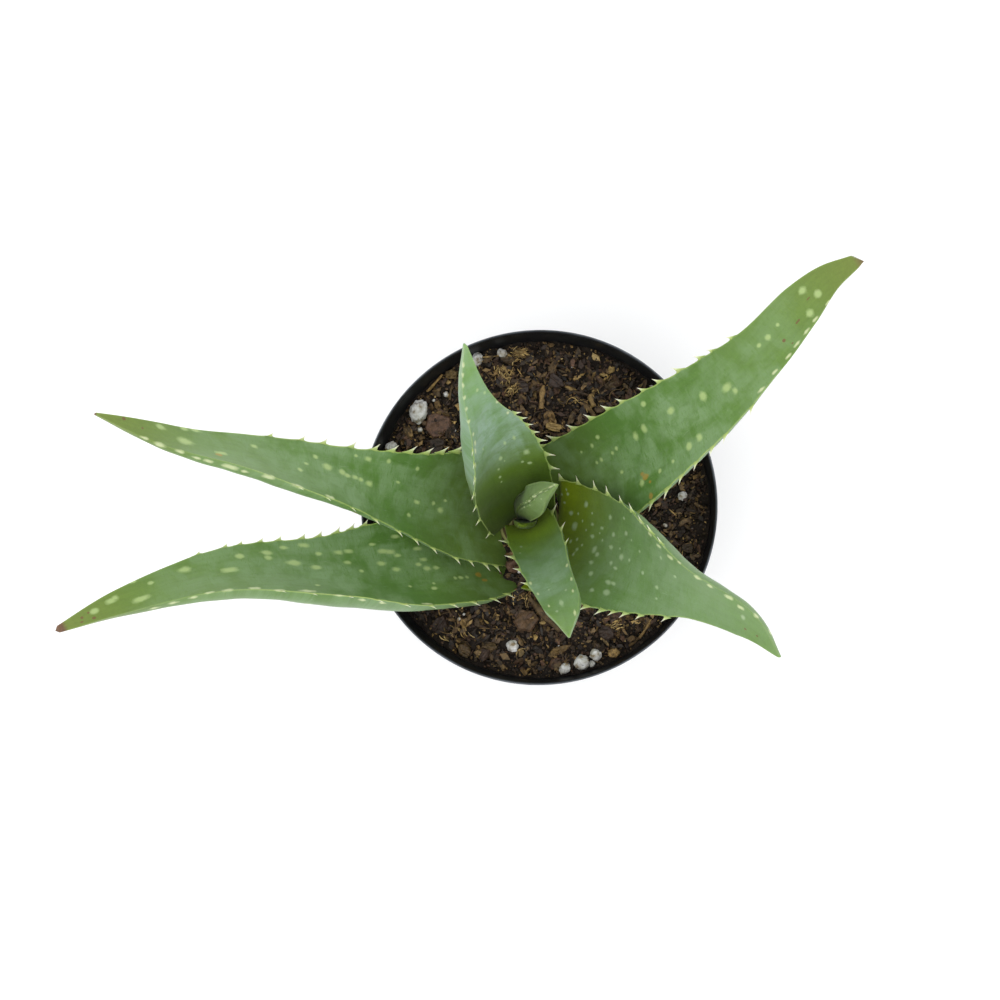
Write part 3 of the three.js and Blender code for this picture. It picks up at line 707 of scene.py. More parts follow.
def bladeRings(leaf, stations, swell, draw):
    # rings of points: the upper face from the left margin to the right, then back along the underside
    topCount, underCount = leafMaking["coarse"][1:] if swell else (leafMaking["across"], leafMaking["under"])
    even = np.linspace(1, -1, topCount)
    across = 0.5 * even + 0.5 * np.sin(math.pi / 2 * even)
    angle = np.pi * (1 - np.arange(1, underCount + 1) / (underCount + 1))
    power = 2 / leafMaking["fullness"]
    underAcross = np.sign(np.cos(angle)) * np.abs(np.cos(angle)) ** power
    underDepth = np.sin(angle) ** power
    half, dip, thick = (stations[k][:, None] for k in ("half", "dip", "thick"))
    topRise = -dip * (1 - across ** 2) + swell
    underRise = -(dip + thick) * underDepth
    allAcross = np.concatenate([across, underAcross])
    out = half * allAcross
    rise = np.hstack([topRise, underRise])
    if not swell:
        # soft waves in the skin, and a swelling of the margin at the foot of each tooth
        run = stations["run"][:, None]
        wave = sum(high * np.sin(run * along + phase + aslant * out)
                   for phase, (high, along, aslant) in zip(draw, leafMaking["waves"]))
        rise += leafMaking["ripple"] * wave * (1 - np.abs(allAcross) ** 6) * np.minimum(half / 6, 1)
        for side in (1, -1) if "toothAt" not in leaf else ():
            for share, size in toothRow(leaf, side):
                near = (stations["share"] - share) * stations["run"][-1] / size
                near = near / np.where(near > 0, tooth["swellReach"][1], tooth["swellReach"][0])
                swelling = tooth["swelling"] * size * np.exp(-near ** 2)[:, None]
                edge = np.clip(side * allAcross, 0, 1) ** tooth["swellEdge"]
                out += side * swelling * edge
                rise += 0.5 * swelling * edge
        if "seam" in leaf:
            closed = smoothStep(*furrow["opens"], stations["share"])[:, None] * (allAcross != 1)
            top = np.arange(len(allAcross)) < topCount
            lap = furrow["lap"] * smoothStep(*furrow["lapReach"], out) * (out > 0)
            shape = np.exp(-(out / furrow["width"]) ** 2) + lap
            inner = top * (np.abs(allAcross) < furrow["edge"])
            rise -= leaf["seam"] * closed * shape * np.minimum(half / 2, 1) * inner
    points = (stations["middle"][:, None, :] + out[..., None] * stations["left"][:, None, :]
              + rise[..., None] * stations["face"][:, None, :])
    return points, allAcross, topCount


def closeRings(points, nose, heel):
    # quads between the rings, fans at both ends
    rings, count = points.shape[:2]
    faces = ringFaces(rings, count)
    tip, root = rings * count, rings * count + 1
    last = (rings - 1) * count
    for i in range(count):
        n = (i + 1) % count
        faces.append((tip, last + i, last + n))
        faces.append((root, n, i))
    return np.vstack([points.reshape(-1, 3), nose, heel]), faces


def leafEnds(leaf, swell, nose):
    # the last points at the tip and at the stem
    ends = leafStations(leaf, np.array([0, 1.0]), swell)
    half = ends["half"][-1]
    tip = (ends["middle"][-1] - ends["thick"][-1] / 2 * ends["face"][-1]
           + (nose[0] * half + swell) * ends["ahead"][-1] + nose[1] * half * ends["left"][-1])
    heel = ends["middle"][0] - (ends["dip"][0] + ends["thick"][0] / 2) * ends["face"][0]
    return tip, heel


def toothPoints(stations, i, side, size, at):
    left, face, ahead = stations["left"][i], stations["face"][i], stations["ahead"][i]
    half = stations["half"][i]
    rise = 0.0 if at == 1 else -stations["dip"][i] * (1 - at * at)
    root = (stations["middle"][i] + side * (at * half - tooth["inset"] * size) * left
            + (rise - tooth["sink"] * size) * face)
    out = side * tooth["outward"] * left + tooth["upward"] * face
    out /= np.linalg.norm(out)
    upright = np.cross(ahead, out)
    points, growth = [], []
    for ring in range(tooth["rings"]):
        s = (ring / tooth["rings"]) ** tooth["crowding"]
        middle = root + out * s * tooth["reach"] * size - ahead * tooth["hook"] * size * s ** tooth["bend"]
        foot, spike = (1 - s) ** tooth["foot"], (1 - s) ** tooth["point"]
        for k in range(tooth["sides"]):
            turn = 2 * math.pi * k / tooth["sides"]
            wide = tooth["tipSide"] if math.cos(turn) > 0 else tooth["stemSide"]
            long = (wide[0] * foot + wide[1] * spike) * size * math.cos(turn)
            flat = (tooth["flat"][0] * foot + tooth["flat"][1] * spike) * size * math.sin(turn)
            points.append(middle + ahead * long + upright * flat)
            growth.append(s)
    points.append(root + out * tooth["reach"] * size - ahead * tooth["hook"] * size)
    growth.append(1)
    return points, growth


def toothFaces(start, mirrored):
    sides = tooth["sides"]
    faces = ringFaces(tooth["rings"], sides, start)
    last = start + (tooth["rings"] - 1) * sides
    point = start + tooth["rings"] * sides
    faces += [(last + k, last + (k + 1) % sides, point) for k in range(sides)]
    faces.append(tuple(start + k for k in reversed(range(sides))))
    return [tuple(reversed(f)) for f in faces] if mirrored else faces


def buildLeaf(leaf, draw):
    # points, faces, and for each point: share of the length, place across, underside, distance from the
    # margin and tooth growth
    shares = sharesOf(leaf, leafMaking["step"])
    stations = leafStations(leaf, shares)
    rings, across, topCount = bladeRings(leaf, stations, 0, draw.uniform(0, 6, 3))
    points, faces = closeRings(rings, *leafEnds(leaf, 0, leaf.get("nose", leafMaking["nose"])))
    count, ringCount = rings.shape[:2]
    under = (np.arange(ringCount) >= topCount).astype(float)
    away = [np.linalg.norm(rings - rings[:, [margin]], axis=2) for margin in (0, topCount - 1)]
    made = {
        "points": points,
        "share": np.concatenate([np.repeat(shares, ringCount), [1, 0]]),
        "place": np.concatenate([np.tile(across, count), [0, 0]]),
        "under": np.concatenate([np.tile(under, count), [0, 1]]),
        "edge": np.concatenate([np.minimum(*away).ravel(), [0, 9]]),
        "growth": np.zeros(len(points)),
    }
    at = leaf.get("toothAt", 1)
    for side in (1, -1):
        for where, size in toothRow(leaf, side):
            i = int(np.argmin(np.abs(shares - where)))
            spike, growth = toothPoints(stations, i, side, size * draw.uniform(*tooth["vary"]), at)
            faces += toothFaces(len(made["points"]), side < 0)
            added = {"points": spike, "share": where, "place": side * at, "under": 0, "edge": 0,
                     "growth": growth}
            for name, value in added.items():
                rows = value if isinstance(value, list) else [value] * len(spike)
                made[name] = np.concatenate([made[name], rows])
    return made | {"faces": faces, "length": leafRun(leaf)[1][-1], "blade": count * ringCount}


def buildCutter(name, leaf):
    # a plain, slightly swollen copy that the older leaves are cut back from
    stations = leafStations(leaf, sharesOf(leaf, leafMaking["coarse"][0]), leafMaking["gap"])
    rings = bladeRings(leaf, stations, leafMaking["gap"], None)[0]
    points, faces = closeRings(rings, *leafEnds(leaf, leafMaking["gap"], leafMaking["nose"]))
    return addObject(name + "Cutter", newMesh(name + "Cutter", points, faces))


def pointNormals(points, faces):
    # rough outward directions at the points of a blade, enough to tell what faces the camera
    quads = np.array([f for f in faces if len(f) == 4])
    spread = np.cross(points[quads[:, 2]] - points[quads[:, 0]], points[quads[:, 3]] - points[quads[:, 1]])
    normals = np.zeros_like(points)
    for k in range(4):
        np.add.at(normals, quads[:, k], spread)
    return normals / np.maximum(np.linalg.norm(normals, axis=1), 1e-9)[:, None]


def markFrom(points, centre, ahead, long, wide, phase):
    # an oval mark, slightly ragged: 1 in its middle, a half at its edge and 0 at twice its size
    (high, turn), (highBeside, turnBeside) = (0.1, 2.6), (0.08, 3.3)
    away = points - centre
    along = away @ ahead
    beside = np.linalg.norm(away - along[:, None] * ahead, axis=1)
    reach = np.hypot(along / (0.5 * long), beside / (0.5 * wide))
    ragged = 1 + high * np.sin(turn * along / wide + phase)
    ragged += highBeside * np.sin(turnBeside * beside + 2 * phase)
    return np.clip(1 - 0.5 * reach * ragged, 0, 1)


def leafMarks(leaf, made, draw):
    points, blade = made["points"], made["blade"]
    normals = pointNormals(points, made["faces"])
    toward = np.array(camera["place"]) - points[:blade]
    seen = np.flatnonzero(np.einsum("ij,ij->i", normals[:blade], toward) > 0)
    pixels = pixelsOf(points[seen])
    stations = leafStations(leaf, np.linspace(0, 1, 101))

    def aheadAt(share):
        return stations["ahead"][int(round(share * 100))]

    def stamp(layer, x, y, long, wide):
        nearest = seen[np.argmin(np.sum((pixels - (x, y)) ** 2, axis=1))]
        found = markFrom(points, points[nearest], aheadAt(made["share"][nearest]), long, wide,
                         draw.uniform(0, 6))
        np.maximum(layer, found, out=layer)

    layers = {name: np.zeros(len(points)) for name in ("spots", "dashes", "scars", "specks")}
    for name, layer in layers.items():
        for mark in leaf.get(name, []):
            stamp(layer, *mark)

    # the underside is spotted too, in loose bands
    share, length = made["share"], made["length"]
    middle = leafStations(leaf, np.array([0.5]))["half"][0]
    inner = np.abs(made["place"][:blade]) < undersideSpots["inner"]
    hidden = np.setdiff1d(np.flatnonzero((made["under"][:blade] > 0.5) & inner), seen)
    count = int(length * middle * undersideSpots["density"]) if "spots" in leaf else 0
    least = undersideSpots["least"]
    for pick in draw.choice(hidden, count) if count else []:
        band = abs(math.sin(share[pick] * length * undersideSpots["bandTurn"]))
        if draw.uniform() > least + (1 - least) * band:
            continue
        found = markFrom(points, points[pick], aheadAt(share[pick]), draw.uniform(*undersideSpots["long"]),
                         draw.uniform(*undersideSpots["wide"]), draw.uniform(0, 6))
        np.maximum(layers["spots"], found, out=layers["spots"])
    return layers


# What the colour attributes of a leaf hold
painted = {
    "place": ("share", "edge", "growth"),
    "marks": ("spots", "dashes", "scars"),
    "wear": ("specks", "dried"),
}

# Noise on leafMap: centimetres it repeats in across and along the leaf, detail, roughness and distortion
skinGrain = {
    "patch": (1.3, 2.6, 3, 0.5, 0.6),  # clouds of wax about 2 cm across
    "streak": (0.11, 1.4, 3, 0.55, 0.4),  # fibres that run along the leaf, about 1 mm apart
    "smear": (0.75, 0.6, 4, 0.6, 0.9),  # finger smears
    "scratch": (0.045, 0.5, 2, 0.5, 2.5),  # fine pale rub marks
    "scuff": (0.3, 0.07, 3, 0.6, 1.8),  # short dark scuffs across the leaf, down to the flesh
}


# Skin of an aloe leaf: thick, smooth cuticle over juicy flesh, dulled by a thin grey-blue bloom of wax
# that is rubbed off in smears and scratches. The flesh is olive where the leaf is young; near the stem its
# colour also holds painted shade, and on some leaves a painted yellow-green glow of light through the
# leaves.
def leafSkin(name, settings):
    material, tree = newMaterial(name)
    where = addNode(tree, "UVMap", {"uv_map": "leafMap"})
    solid = addNode(tree, "TexCoord").outputs["Object"]
    value = {"fine": addNode(tree, "TexNoise", {"Scale": 1100, "Detail": 3, "Roughness": 0.7},
                             {"Vector": solid})}  # 0.9 mm mottling
    for layer, parts in painted.items():
        colours = addNode(tree, "VertexColor", {"layer_name": layer})
        value |= zip(parts, addNode(tree, "SeparateColor", links={"Color": colours}).outputs)
    for grain, (across, along, detail, roughness, distortion) in skinGrain.items():
        stretched = addNode(tree, "Mapping", {"Scale": (1 / across, 1 / along, 1)}, {"Vector": where})
        shape = {"Scale": 1, "Detail": detail, "Roughness": roughness, "Distortion": distortion}
        value[grain] = addNode(tree, "TexNoise", shape, {"Vector": stretched})
    value["waxRun"] = addNode(tree, "ValToRGB", {"stops": settings["bloomRun"]}, {"Fac": value["share"]})

    # a row of six brings a value from one range into another, a row of four joins two
    for made, *row in [
        ("ragged", "fine", 0.3, 0.7, -0.06, 0.06),
        ("mottled", "fine", 0.3, 0.7, 0.93, 1.07),
        ("streaked", "streak", 0.3, 0.7, 0.93, 1.07),
        ("tone", "MULTIPLY", "mottled", "streaked"),
        ("softSmear", "MULTIPLY", "smear", 0.45),
        ("feathered", "ADD", "softSmear", "patch"),
        ("closed", "feathered", 0.62, 0.8, settings["even"], 1),
        ("smeared", "smear", 0.34, 0.54, 0.8, 1),
        ("cloud", "MULTIPLY", "closed", "smeared"),
        ("parted", "streak", 0.3, 0.62, 0.85, 1),
        ("unscuffed", "scuff", 0.56, 0.68, 1, 0.35),
        ("whole", "MULTIPLY", "parted", "unscuffed"),
        ("cloudRun", "MULTIPLY", "cloud", "waxRun"),
        ("bloom", "MULTIPLY", "cloudRun", "whole"),
        ("scratched", "scratch", 0.66, 0.73, 0, 0.3),
        ("rubbed", "MULTIPLY", "scratched", "waxRun"),
        ("spotEdge", "ADD", "spots", "ragged"),
        ("spotted", "spotEdge", 0.3, 0.72, 0, settings["spotStrength"]),
        ("dashEdge", "ADD", "dashes", "ragged"),
        ("dashed", "dashEdge", 0.3, 0.7, 0, 0.85),
        # the pale margin line: partly the leaf's own pale edge, partly a painted highlight along it
        ("marginRun", "share", 0.5, 0.78, 1, 0.2),
        ("marginSmear", "smear", 0.3, 0.55, 0.5, 1),
        ("marginTone", "MULTIPLY", "marginRun", "marginSmear"),
        ("marginLine", "edge", 0.045, 0.015, 0, 0.8),
        ("margin", "MULTIPLY", "marginLine", "marginTone"),
        ("toothed", "growth", 0, 0.22, 0, 1),
        ("scarEdge", "ADD", "scars", "ragged"),
        ("scarred", "scarEdge", 0.4, 0.66, 0, 0.6),
        ("speckEdge", "ADD", "specks", "ragged"),
        ("specked", "speckEdge", 0.42, 0.58, 0, 0.85),
        ("rough", "bloom", 0, 1, 0.36, 0.58),
        ("gloss", "share", 0.12, 0.4, *settings["shine"]),
        ("ribbed", "MULTIPLY", "streak", 0.8),
        ("relief", "ADD", "ribbed", "fine"),
    ]:
        if len(row) == 5:
            limits = dict(zip(("From Min", "From Max", "To Min", "To Max"), row[1:]))
            value[made] = addNode(tree, "MapRange", limits, {"Value": value[row[0]]})
            continue
        operation, first, second = row
        number = {} if second in value else {1: second}
        linked = {} if number else {1: value[second]}
        value[made] = addNode(tree, "Math", {"operation": operation} | number, {0: value[first]} | linked)

    # the flesh colour along the leaf; near the stem it holds painted shade, and on some leaves a painted
    # glow
    flesh = addNode(tree, "ValToRGB", {"stops": settings["flesh"]}, {"Fac": value["share"]})
    skin = addNode(tree, "VectorMath", {"operation": "SCALE"}, {0: flesh, "Scale": value["tone"]})
    toothTone = addNode(tree, "ValToRGB",
                        {"stops": [(0.0, settings["edge"]), (0.3, "#a9b972"), (0.55, "#d2d6ae"),
                                   (0.85, "#e6e3cf"), (1.0, "#dcc39c")]}, {"Fac": value["growth"]})
    dryTone = addNode(tree, "Mix", {"data_type": "RGBA", 6: "#38271b", 7: "#856243"},
                      {0: value["fine"]}).outputs[2]

    # from the skin out: wax and its rubbed streaks, pale spots of air under the skin, a pale line along the
    # very edge that is partly its own colour and partly a painted highlight, dashes at the margin, teeth,
    # rust-coloured scars, small brown specks and the dried tip
    for share, colour in (("bloom", settings["bloom"]), ("rubbed", settings["rub"]),
                          ("spotted", settings["spot"]), ("margin", settings["edge"]),
                          ("dashed", settings["dash"]), ("toothed", toothTone),
                          ("scarred", "#a8802c"), ("specked", "#6b4a2c"), ("dried", dryTone)):
        fixed = {7: colour} if isinstance(colour, str) else {}
        linked = {} if fixed else {7: colour}
        skin = addNode(tree, "Mix", {"data_type": "RGBA"} | fixed,
                       {0: value[share], 6: skin} | linked).outputs[2]

    bump = addNode(tree, "Bump", {"Strength": 0.3, "Distance": 0.00022}, {"Height": value["relief"]})
    shader = addNode(tree, "BsdfPrincipled",
                     {"IOR": 1.45, "Subsurface Weight": 0.1, "Subsurface Radius": (0.5, 1, 0.2),
                      "Subsurface Scale": 0.0012, "Sheen Weight": 0.08, "Sheen Roughness": 0.5,
                      "Sheen Tint": "#dfe9e2"},
                     {"Base Color": skin, "Roughness": value["rough"], "Specular IOR Level": value["gloss"],
                      "Normal": bump})
    addNode(tree, "OutputMaterial", links={"Surface": shader})
    return material


# flesh and bloomRun run from the stem, 0, to the tip, 1; even is how closed the bloom is, and shine the
# gloss near the stem, where the leaf is shaded by the others, and beyond
shaded = {
    "even": 0.4,
    "shine": (0.05, 0.45),
    "spot": "#9cb187",
    "spotStrength": 0.8,
    "dash": "#c2cb98",
    "edge": "#9db362",
}
youngest = shaded | {"spot": "#a2b878", "spotStrength": 0.6, "dash": "#c3cd9d"}
# Near the stem the flesh stops hold painted light: painted shade on the north leaf, bud and heart, and a
# painted yellow-green glow, brightest on the south leaf.
skins = {
    "grown": {
        "flesh": [(0.0, "#5c7526"), (0.14, "#4f6923"), (0.3, "#486d24"), (0.55, "#507427"), (0.8, "#5d7b2d"),
                  (1.0, "#69792d")],
        "bloom": "#779365",
        "bloomRun": [(0.0, 0.4), (0.2, 0.6), (0.45, 0.85), (0.7, 0.6), (0.92, 0.1)],
        "even": 0.2,
        "shine": (0.3, 0.45),
        "rub": "#98af8c",
        "spot": "#a1b675",
        "spotStrength": 0.85,
        "dash": "#bfc897",
        "edge": "#9fb45f",
    },
    "north": shaded | {
        "flesh": [(0.0, "#344602"), (0.2, "#435a03"), (0.36, "#57720e"), (0.55, "#5f8340"), (0.8, "#67903f"),
                  (1.0, "#749a44")],
        "bloom": "#90a896",
        "bloomRun": [(0.0, 0.0), (0.3, 0.04), (0.43, 0.75), (0.6, 0.95), (0.85, 0.4)],
        "rub": "#a3b8a4",
        "spot": "#a8bc88",
        "dash": "#c8d0a0",
        "edge": "#9fb565",
    },
    "south": shaded | {
        "flesh": [(0.0, "#849b03"), (0.12, "#779409"), (0.27, "#5d7c1c"), (0.42, "#54782e"),
                  (0.6, "#587b36"), (0.8, "#5f8137"), (1.0, "#678632")],
        "bloom": "#7f997b",
        "bloomRun": [(0.0, 0.0), (0.2, 0.08), (0.36, 0.6), (0.6, 0.9), (0.85, 0.3)],
        "rub": "#a0b79b",
    },
    "southeast": shaded | {
        "flesh": [(0.0, "#6a7a03"), (0.12, "#62770a"), (0.25, "#53701c"), (0.4, "#51742c"), (0.6, "#567835"),
                  (0.8, "#5c7f38"), (1.0, "#698a3c")],
        "bloom": "#748e64",
        "bloomRun": [(0.0, 0.0), (0.12, 0.1), (0.28, 0.65), (0.6, 0.8), (0.85, 0.45)],
        "even": 0.55,
        "rub": "#9bb292",
    },
    "heart": youngest | {
        "flesh": [(0.0, "#3e4a01"), (1.0, "#5c6e0e")],
        "bloom": "#66802c",
        "bloomRun": [(0.0, 0.0), (1.0, 0.4)],
        "shine": (0.05, 0.1),
        "rub": "#8fa45a",
        "edge": "#7f9440",
    },
    "bud": youngest | {
        "flesh": [(0.0, "#303a01"), (0.3, "#45560c"), (0.6, "#587226"), (1.0, "#748c42")],
        "bloom": "#849b6b",
        "bloomRun": [(0.0, 0.0), (0.35, 0.15), (0.6, 0.7), (1.0, 0.7)],
        "even": 0.5,
        "shine": (0.05, 0.3),
        "rub": "#a0b592",
        "edge": "#93a75e",
    },
}


def finishLeaf(name, leaf, made, material, slot, cutters, draw):
    marks = leafMarks(leaf, made, draw)
    points = made["points"]
    blade = newPiece(name + "Leaf", points, made["faces"], material, slot, "leaf_" + name)
    cutBy(blade, cutters, leafMaking["solver"])
    mesh = blade.data
    mesh.shade_smooth()
    mesh.set_sharp_from_angle(angle=math.radians(leafMaking["crisp"]))

    # the cut leaf reads its shares, marks and wear from the nearest point of the whole one
    tree = kdtree.KDTree(len(points))
    for i, point in enumerate(points * mm):
        tree.insert(point, i)
    tree.balance()
    source = np.array([tree.find(vertex.co)[1] for vertex in mesh.vertices])
    half = leafStations(leaf, made["share"])["half"]
    fromTip = (1 - made["share"]) * made["length"]
    dried = 0 * fromTip
    if "browned" in leaf:
        dried = smoothStep(*leafMaking["drying"], fromTip / leaf["browned"])
    shown = made | marks | {"edge": made["edge"] / cm, "dried": dried}
    for layer, parts in painted.items():
        paintPoints(mesh, layer, *(shown[part][source] for part in parts))

    # leafMap: centimetres beside the midrib and along it, the underside set apart from the face
    beside = made["place"] * half / cm
    along = made["share"] * made["length"] / cm
    corners = np.zeros(len(mesh.loops), int)
    mesh.loops.foreach_get("vertex_index", corners)
    faceOfCorner = np.repeat(np.arange(len(mesh.polygons)), [p.loop_total for p in mesh.polygons])
    faceUnder = np.zeros(len(mesh.polygons))
    np.maximum.at(faceUnder, faceOfCorner, made["under"][source][corners])
    layer = mesh.uv_layers.new(name="leafMap")
    apart = leafMaking["mapApart"] * faceUnder[faceOfCorner]
    uv = np.column_stack([beside[source][corners] + apart, along[source][corners]])
    layer.data.foreach_set("uv", uv.astype(np.float32).ravel())
    print(name, "leaf ready,", len(mesh.polygons), "faces")


def stemOutline(points):
    # closed at both ends
    return [(0, points[0][1]), *map(tuple, points), (0, points[-1][1])]


def makeLeaves():
    draw = np.random.default_rng(7)
    skinOf = {name: leafSkin(name + "_aloe_leaf_skin", values) for name, values in skins.items()}
    points, faces = revolve(stemOutline(stem["profile"]), stem["coarseSides"])
    points = np.array(points) + (stem["x"], stem["y"], 0)
    cutters = [addObject("stemCutter", newMesh("stemCutter", points, faces))]
    for name, leaf in leaves.items():
        made = buildLeaf(leaf, draw)
        slot = "young_leaf" if name in ("heart", "bud") else "leaf"
        finishLeaf(name, leaf, made, skinOf[name if name in skins else "grown"], slot, cutters, draw)
        cutters.append(buildCutter(name, leaf))
    for cutter in cutters:
        bpy.data.objects.remove(cutter)


makeLeaves()
print("leaves ready")


# Short stem of a young aloe: pale green-brown, ringed by the scars of dropped leaves.
def stemSkin():
    material, tree = newMaterial("young_aloe_stem")
    place = addNode(tree, "TexCoord").outputs["Object"]
    rings = addNode(tree, "TexWave",
                    {"wave_type": "BANDS", "bands_direction": "Z", "Scale": 160, "Distortion": 3,
                     "Detail": 3}, {"Vector": place}).outputs["Fac"]  # leaf scars about 2 mm apart
    colour = addNode(tree, "ValToRGB",
                     {"stops": [(0.1, "#4a3a22"), (0.5, "#6d6a38"), (0.9, "#8f8f58")]}, {"Fac": rings})
    bump = addNode(tree, "Bump", {"Strength": 0.5, "Distance": 0.0004}, {"Height": rings})
    shader = addNode(tree, "BsdfPrincipled", {"Roughness": 0.7, "IOR": 1.45},
                     {"Base Color": colour, "Normal": bump})
    addNode(tree, "OutputMaterial", links={"Surface": shader})
    return material


def makeStem():
    curve = splineAt(stem["profile"], np.linspace(0, 1, stem["steps"]))
    points, faces = revolve(stemOutline(curve), stem["sides"])
    points = np.array(points)
    angle = np.arctan2(points[:, 1], points[:, 0])
    high, count, twist = stem["lobes"]
    points[:, :2] *= (1 + high * np.sin(count * angle + points[:, 2] * twist))[:, None]
    points += (stem["x"], stem["y"], 0)
    newPiece("aloeStem", points, faces, stemSkin(), "stem", "stem")


makeStem()
print("stem ready")


soil = {
    "level": 82,
    "crown": -5.5,  # the mix sinks towards the stem, where the leaves part it
    "crownReach": 15,
    "sag": 0.3,
    "mound": (-5, -18.5, 4.8, 3),  # x, y, reach and height of the chips heaped against two leaves
    "lumps": [(0.6, 0.55, 0.48), (0.4, 1.1, -0.9), (0.3, 0.31, 1.27)],  # height, and turns along x and y
    "rings": 110,
    "sides": 260,
    "bedDrop": 0.8,  # how far the dark bed lies under the loose chips
    "bedRings": (76, 60, 30),  # heights of the rings down its side
    "crumbHeight": 0.9,
    "crumbTurn": 0.42,
    "crumbNoise": (0.8, 2.2, 4),  # how fast its octaves fade, how far apart they are and how many
    "wallGap": 0.12,
    "clear": 0.45,  # share of a loose piece's length that it keeps from a leaf
    "wallClear": (0.62, 0.55),  # and from the wall, when its place is drawn and when it is laid
    "fullTurn": 6.28,
    "dots": 26,  # of perlite, with their size, height, and width and thickness for their length
    "dotSize": (0.5, 1.3),
    "dotShape": (0.4, 0.85, 0.8),
}

# Loose pieces: long in millimetres, wide and thick as shares of it, lift above the bed, lean in radians and
# the two powers of the draw of their tone
loose = {
    "barkFlakes": {"count": 70, "long": (2.8, 6), "wide": (0.35, 0.75), "thick": (1, 2), "lift": 0.3,
                   "lean": 0.3, "tone": (1.4, 2.2)},  # these alone have their thickness in millimetres
    "barkChips": {"count": 4600, "long": (1.1, 3.8), "wide": (0.15, 0.7), "thick": (0.1, 0.35),
                  "lift": (-0.6, 0.7), "lean": 0.5, "tone": (1.1, 1.9)},
    "peatCrumbs": {"count": 7600, "long": (0.35, 1.2), "wide": (0.5, 1), "thick": (0.4, 0.9),
                   "lift": (-0.7, 0.6), "lean": 0.8, "tone": (1.1, 1.7)},
}

# A fibre's arch over the mix, its height, taper and knots, and the ranges that loose fibres and the shreds
# of a tangle are drawn from
fibre = {"count": 90, "arch": 3.4, "rest": 0.3, "taper": 1.2, "knots": 0.25, "long": (3, 9),
         "radius": (0.08, 0.2), "bend": (-1.6, 1.6), "lift": (0.3, 1), "tone": (0.4, 1)}
shred = {"acrossX": 0.6, "acrossY": 0.4, "turn": 0.55, "long": (1, 3.2), "radius": (0.07, 0.17),
         "bend": (-0.7, 0.7), "lift": (0.3, 1.2), "tone": (0.8, 1)}

# Bigger bark chips: (x, y, long, wide, thick, turn, tone), turn in radians, tone from 0 dark to 1 straw
bark = [
    (-31.5, 25.9, 9.5, 8.8, 2.2, 0.6, 0.36), (-32, 19.5, 6.5, 6, 2, 0.2, 0.14),
    (-30.8, -35.2, 6.2, 5.2, 2.8, 0.9, 0.38), (-23.5, -43.8, 5, 4, 2.6, -0.4, 0.55),
    (-8.5, -17.6, 5, 4.6, 2, 0.5, 0.34), (-6.3, -25, 5.5, 2.6, 2, 0.6, 0.16),
    (-3.9, -34.3, 8.4, 7.6, 3, 0.9, 0.42), (20.3, -38, 5.6, 4.6, 3, 0.2, 0.37),
    (23.3, -32.8, 4.4, 3, 2, -0.2, 0.35), (22.4, -44.1, 3.8, 3.2, 2.4, 0.9, 0.76),
    (4.3, 24.9, 6.5, 2.8, 1.8, -0.15, 0.88), (4.9, 39, 5.6, 4, 1.8, -0.7, 0.37),
    (-10, 45.9, 6.2, 2.6, 1.8, -0.1, 0.5), (-28.5, 42.9, 3.9, 3.5, 3, 0.3, 0.84),
    (5.3, -43.4, 9, 2.4, 1.6, 0.42, 0.68), (-17, -44.5, 5.2, 3.6, 2.2, 0.9, 0.3),
    (38, -20, 5.5, 3.4, 2, 1.1, 0.4), (42, 10, 5, 3.2, 2, 0.4, 0.3), (28, 33, 5.6, 3, 2, -0.5, 0.36),
    (-42, 8, 5, 4, 2.4, 0.3, 0.4), (45, -12, 4.4, 3.4, 2.2, 0.2, 0.5),
]
# Sticks and roots: (x, y, x, y, thickness, tone)
sticks = [
    (-30, 41.4, -34.9, 36.2, 0.9, 0.78), (-26.6, 40.4, -28.2, 33.6, 0.9, 0.72),
    (-18.9, 46.6, -12.7, 47.1, 0.5, 0.86), (12.6, 32.7, 16.9, 28.5, 1.6, 0.66),
    (15.2, 35.2, 16.3, 31.2, 1.8, 0.82), (0.9, 38.1, 0.1, 30.7, 1.7, 0.74),
    (-3.5, -27.3, 5.9, -37.4, 2.5, 0.7), (7.8, 36.9, 18, 33.9, 0.7, 0.45), (36, -9, 40.5, -13.5, 0.9, 0.8),
    (-34.5, -29.5, -28.5, -24.5, 1.1, 0.6), (30, -40, 34, -34, 0.9, 0.7), (-42.5, -8, -38, -14, 0.8, 0.6),
]
# Tangles of straw-coloured shreds: (x, y, spread, count)
tangles = [
    (-6.6, 47.6, 2.4, 60), (-10.9, 41.2, 3.2, 70), (-8.7, 36.6, 2.2, 36), (-4.5, -27, 2.6, 22),
    (15, 33, 3.6, 22), (22, -36, 3, 24), (-26, -38, 4, 18), (40, -14, 3, 14),
]
# Perlite: (x, y, long, wide, thick)
perlite = [
    (-37.7, 30.3, 7, 5.4, 4.4), (-19.8, 46.7, 3.4, 4.2, 3.4), (-11.8, 48, 3, 2.6, 2.4),
    (12.6, -47, 4.5, 4.5, 4), (16.9, -44.7, 3.6, 3.4, 3.2), (7.4, -48.9, 3.8, 3, 2.8),
    (15.6, -47.4, 2, 2, 2), (-8.5, -41.9, 3.8, 3.4, 2.8), (43.5, 3.7, 3, 2.4, 2.4),
    (-46.6, 19.6, 3.8, 3, 2.6), (-37, 24.6, 1.6, 1.4, 1.4), (34.2, 37.3, 1.6, 1, 1.2),
    (-29, 35.5, 1.7, 1.5, 1.4),
]


# A chip of bark as shares of its size, with the height and width of its side's two lower rings
chip = {
    "jitter": 0.3,
    "reach": (0.72, 1.05),
    "size": 0.55,
    "slant": 0.35,
    "rim": 0.93,
    "face": 0.42,
    "split": 0.22,
    "levels": ((0.1, 1.04), (-0.5, 0.9)),
    "ragged": (0.94, 1.06),
}


def soilReach():
    return wallRadius(soil["level"]) + pot["collarStep"] - pot["wall"] - soil["wallGap"]


